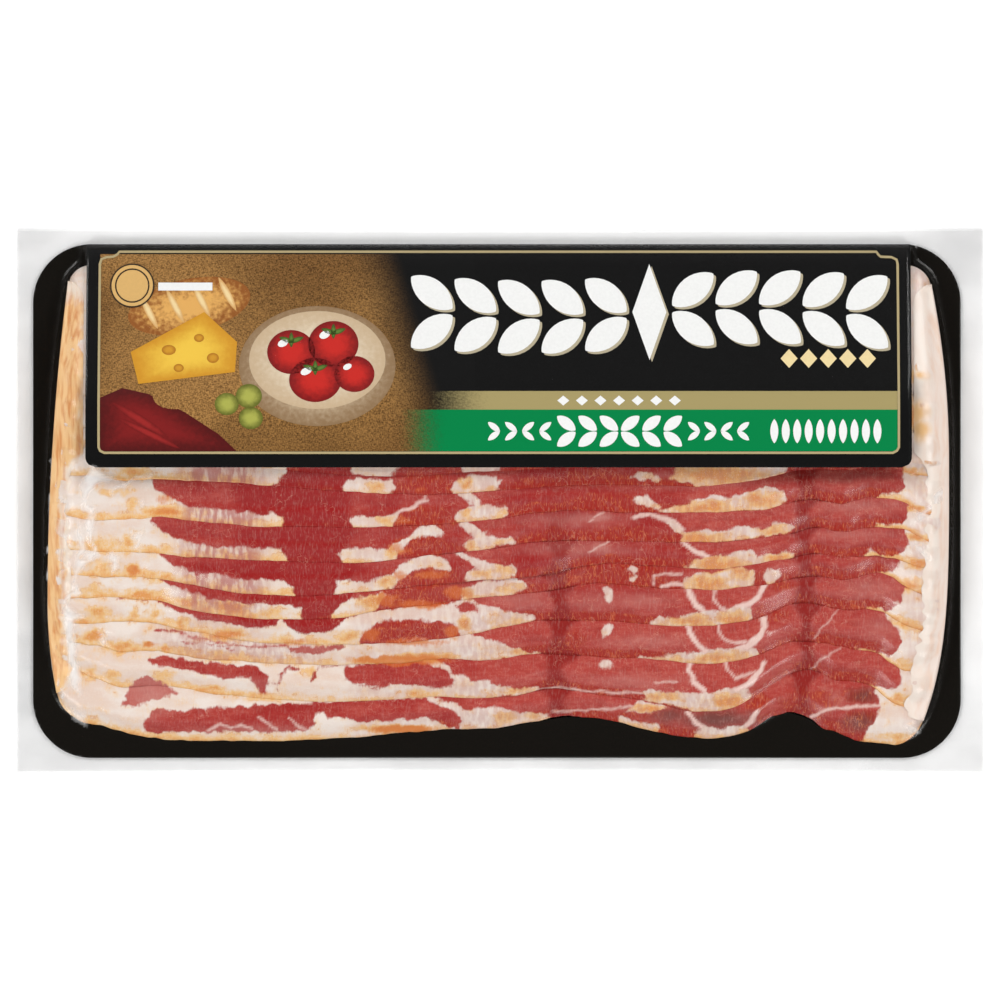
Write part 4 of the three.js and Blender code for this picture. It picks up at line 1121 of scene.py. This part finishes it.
def makeFilm():
    clear = filmMaterial()
    columns, rows = int(film["length"] / film["step"]) + 1, int(film["width"] / film["step"]) + 1
    u, v = np.meshgrid(np.linspace(-1, 1, columns), np.linspace(-1, 1, rows))
    x = u * film["length"] / 2
    y = v * (film["width"] / 2 - film["bow"] * (1 - u ** 2) * np.abs(v) ** 8)
    hard = contentsTop(x, y)
    soft = relaxed(hard, film["relax"])
    px, py = toUnits(x, y)
    wx = px + film["crinkle"] * (softNoise(px, py, 9, 81) - 0.5)
    wy = py + film["crinkle"] * (softNoise(px, py, 8, 82) - 0.5)
    crease, hazeAndGlint = np.zeros_like(x), np.zeros_like(x)
    # painted highlights: white along each raised crease and inside each glint outline
    for half, height, white, points in creases:
        away = distanceToLine(wx, wy, points) * frameUnit
        bump = np.exp(-(away / half) ** 2)
        crease = np.maximum(crease, height * bump)
        hazeAndGlint = np.maximum(hazeAndGlint, white * bump)
    for white, outline in glints:
        inside = np.clip((insidePatch(wx, wy, outline) + 3) / 8, 0, 1)
        hazeAndGlint = np.maximum(hazeAndGlint, min(0.85, 1.35 * white) * inside * inside * (3 - 2 * inside))
    outside = hard <= film["margin"]
    hazeAndGlint = np.where(outside, 0.1, hazeAndGlint)
    wave = film["wave"] * (softNoise(x, y, 17, 41) + softNoise(x, y, 6, 42) - 1) * outside
    z = soft + film["stand"] + crease + np.maximum(wave, -0.2)
    points = np.column_stack([x.ravel(), y.ravel(), z.ravel()])
    # the margin's grey, part the film's haze and part painted shade: greyer towards the corners, less in the middle of
    # the right side
    besides = np.where(x < 0, np.interp(y, *film["greyLeft"]), np.interp(y, *film["greyRight"]))
    across = np.where(y > 0, np.interp(np.abs(x), *film["greyAbove"]), np.interp(np.abs(x), *film["greyBelow"]))
    atSide = np.clip((np.abs(x) - 126) / 10, 0, 1)
    greyAndShade = outside * (atSide * besides + (1 - atSide) * across)
    piece = makePiece("frontFilm", points, gridFaces(rows, columns), clear,
                      {"hazeAndGlint": hazeAndGlint.ravel(), "greyAndShade": greyAndShade.ravel()})
    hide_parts("film_pouch")
    back = points[:, :].copy()
    back[:, 2] = 0.06
    keep = 8
    pick = np.arange(rows * columns).reshape(rows, columns)[::keep, ::keep]
    backPoints = back[pick.ravel()]
    makePiece("backFilm", backPoints, gridFaces(*pick.shape, flip=True), clear,
              {"hazeAndGlint": np.full(len(backPoints), 0.06), "greyAndShade": np.zeros(len(backPoints))})


makeFilm()
print("film drawn over")


# table, light and camera
studio = {"cameraHeight": 4.0, "sky": 0.34, "panels": 4, "panelPower": 16.2, "panelSize": 0.9, "panelAway": 1.5,
          "panelHeight": 1.25}


def makeStudio():
    s = Shader("pale_table")
    tone = s.ramp(s.noise(0.02, 2), 0.3, 0.7)
    body = s.node("BsdfPrincipled", {"Base Color": s.mix(tone, (0.97, 0.97, 0.97, 1), (0.99, 0.99, 0.99, 1)),
                                     "Roughness": 0.9})
    body.inputs["Specular IOR Level"].default_value = 0.0
    table = bpy.data.meshes.new("table")
    side = 3.0
    table.from_pydata([(-side, -side, -0.0002), (side, -side, -0.0002), (side, side, -0.0002), (-side, side, -0.0002)],
                      [], [(0, 1, 2, 3)])
    table.materials.append(s.finish(body.outputs[0]))
    floor = bpy.data.objects.new("table", table)
    bpy.context.scene.collection.objects.link(floor)
    floor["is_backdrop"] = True

    world = bpy.data.worlds.new("studio")
    bpy.context.scene.world = world
    world.use_nodes = True
    tree = world.node_tree
    sky = tree.nodes["Background"]
    where = tree.nodes.new("ShaderNodeTexCoord")
    split = tree.nodes.new("ShaderNodeSeparateXYZ")
    fade = tree.nodes.new("ShaderNodeMapRange")
    fade.inputs[1].default_value, fade.inputs[2].default_value = 0.5, 0.75
    fade.inputs[3].default_value, fade.inputs[4].default_value = studio["sky"], 0.02
    tree.links.new(where.outputs["Generated"], split.inputs[0])
    tree.links.new(split.outputs["Z"], fade.inputs[0])
    tree.links.new(fade.outputs[0], sky.inputs["Strength"])
    sky.inputs["Color"].default_value = (1, 1, 1, 1)

    for k in range(studio["panels"]):
        angle = 2 * math.pi * (k + 0.5) / studio["panels"]
        light = bpy.data.lights.new(f"panel{k + 1}", "AREA")
        light.size, light.energy = studio["panelSize"], studio["panelPower"]
        lamp = bpy.data.objects.new(f"panel{k + 1}", light)
        lamp.location = (studio["panelAway"] * math.cos(angle), studio["panelAway"] * math.sin(angle),
                         studio["panelHeight"])
        aim = -lamp.location
        lamp.rotation_euler = aim.to_track_quat("-Z", "Y").to_euler()
        bpy.context.scene.collection.objects.link(lamp)

    lens = bpy.data.cameras.new("camera")
    lens.sensor_width = 36.0
    lens.lens = 36.0 * studio["cameraHeight"] * metre / (1000 * frameUnit)
    lens.clip_end = 20.0
    camera = bpy.data.objects.new("camera", lens)
    camera.location = (0, 0, studio["cameraHeight"])
    bpy.context.scene.collection.objects.link(camera)
    bpy.context.scene.camera = camera
    bpy.context.scene.view_settings.view_transform = "Standard"


makeStudio()
print("studio set")

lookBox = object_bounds()
{"cad": [list(corner) for corner in cadBox], "visual": [list(corner) for corner in lookBox]}
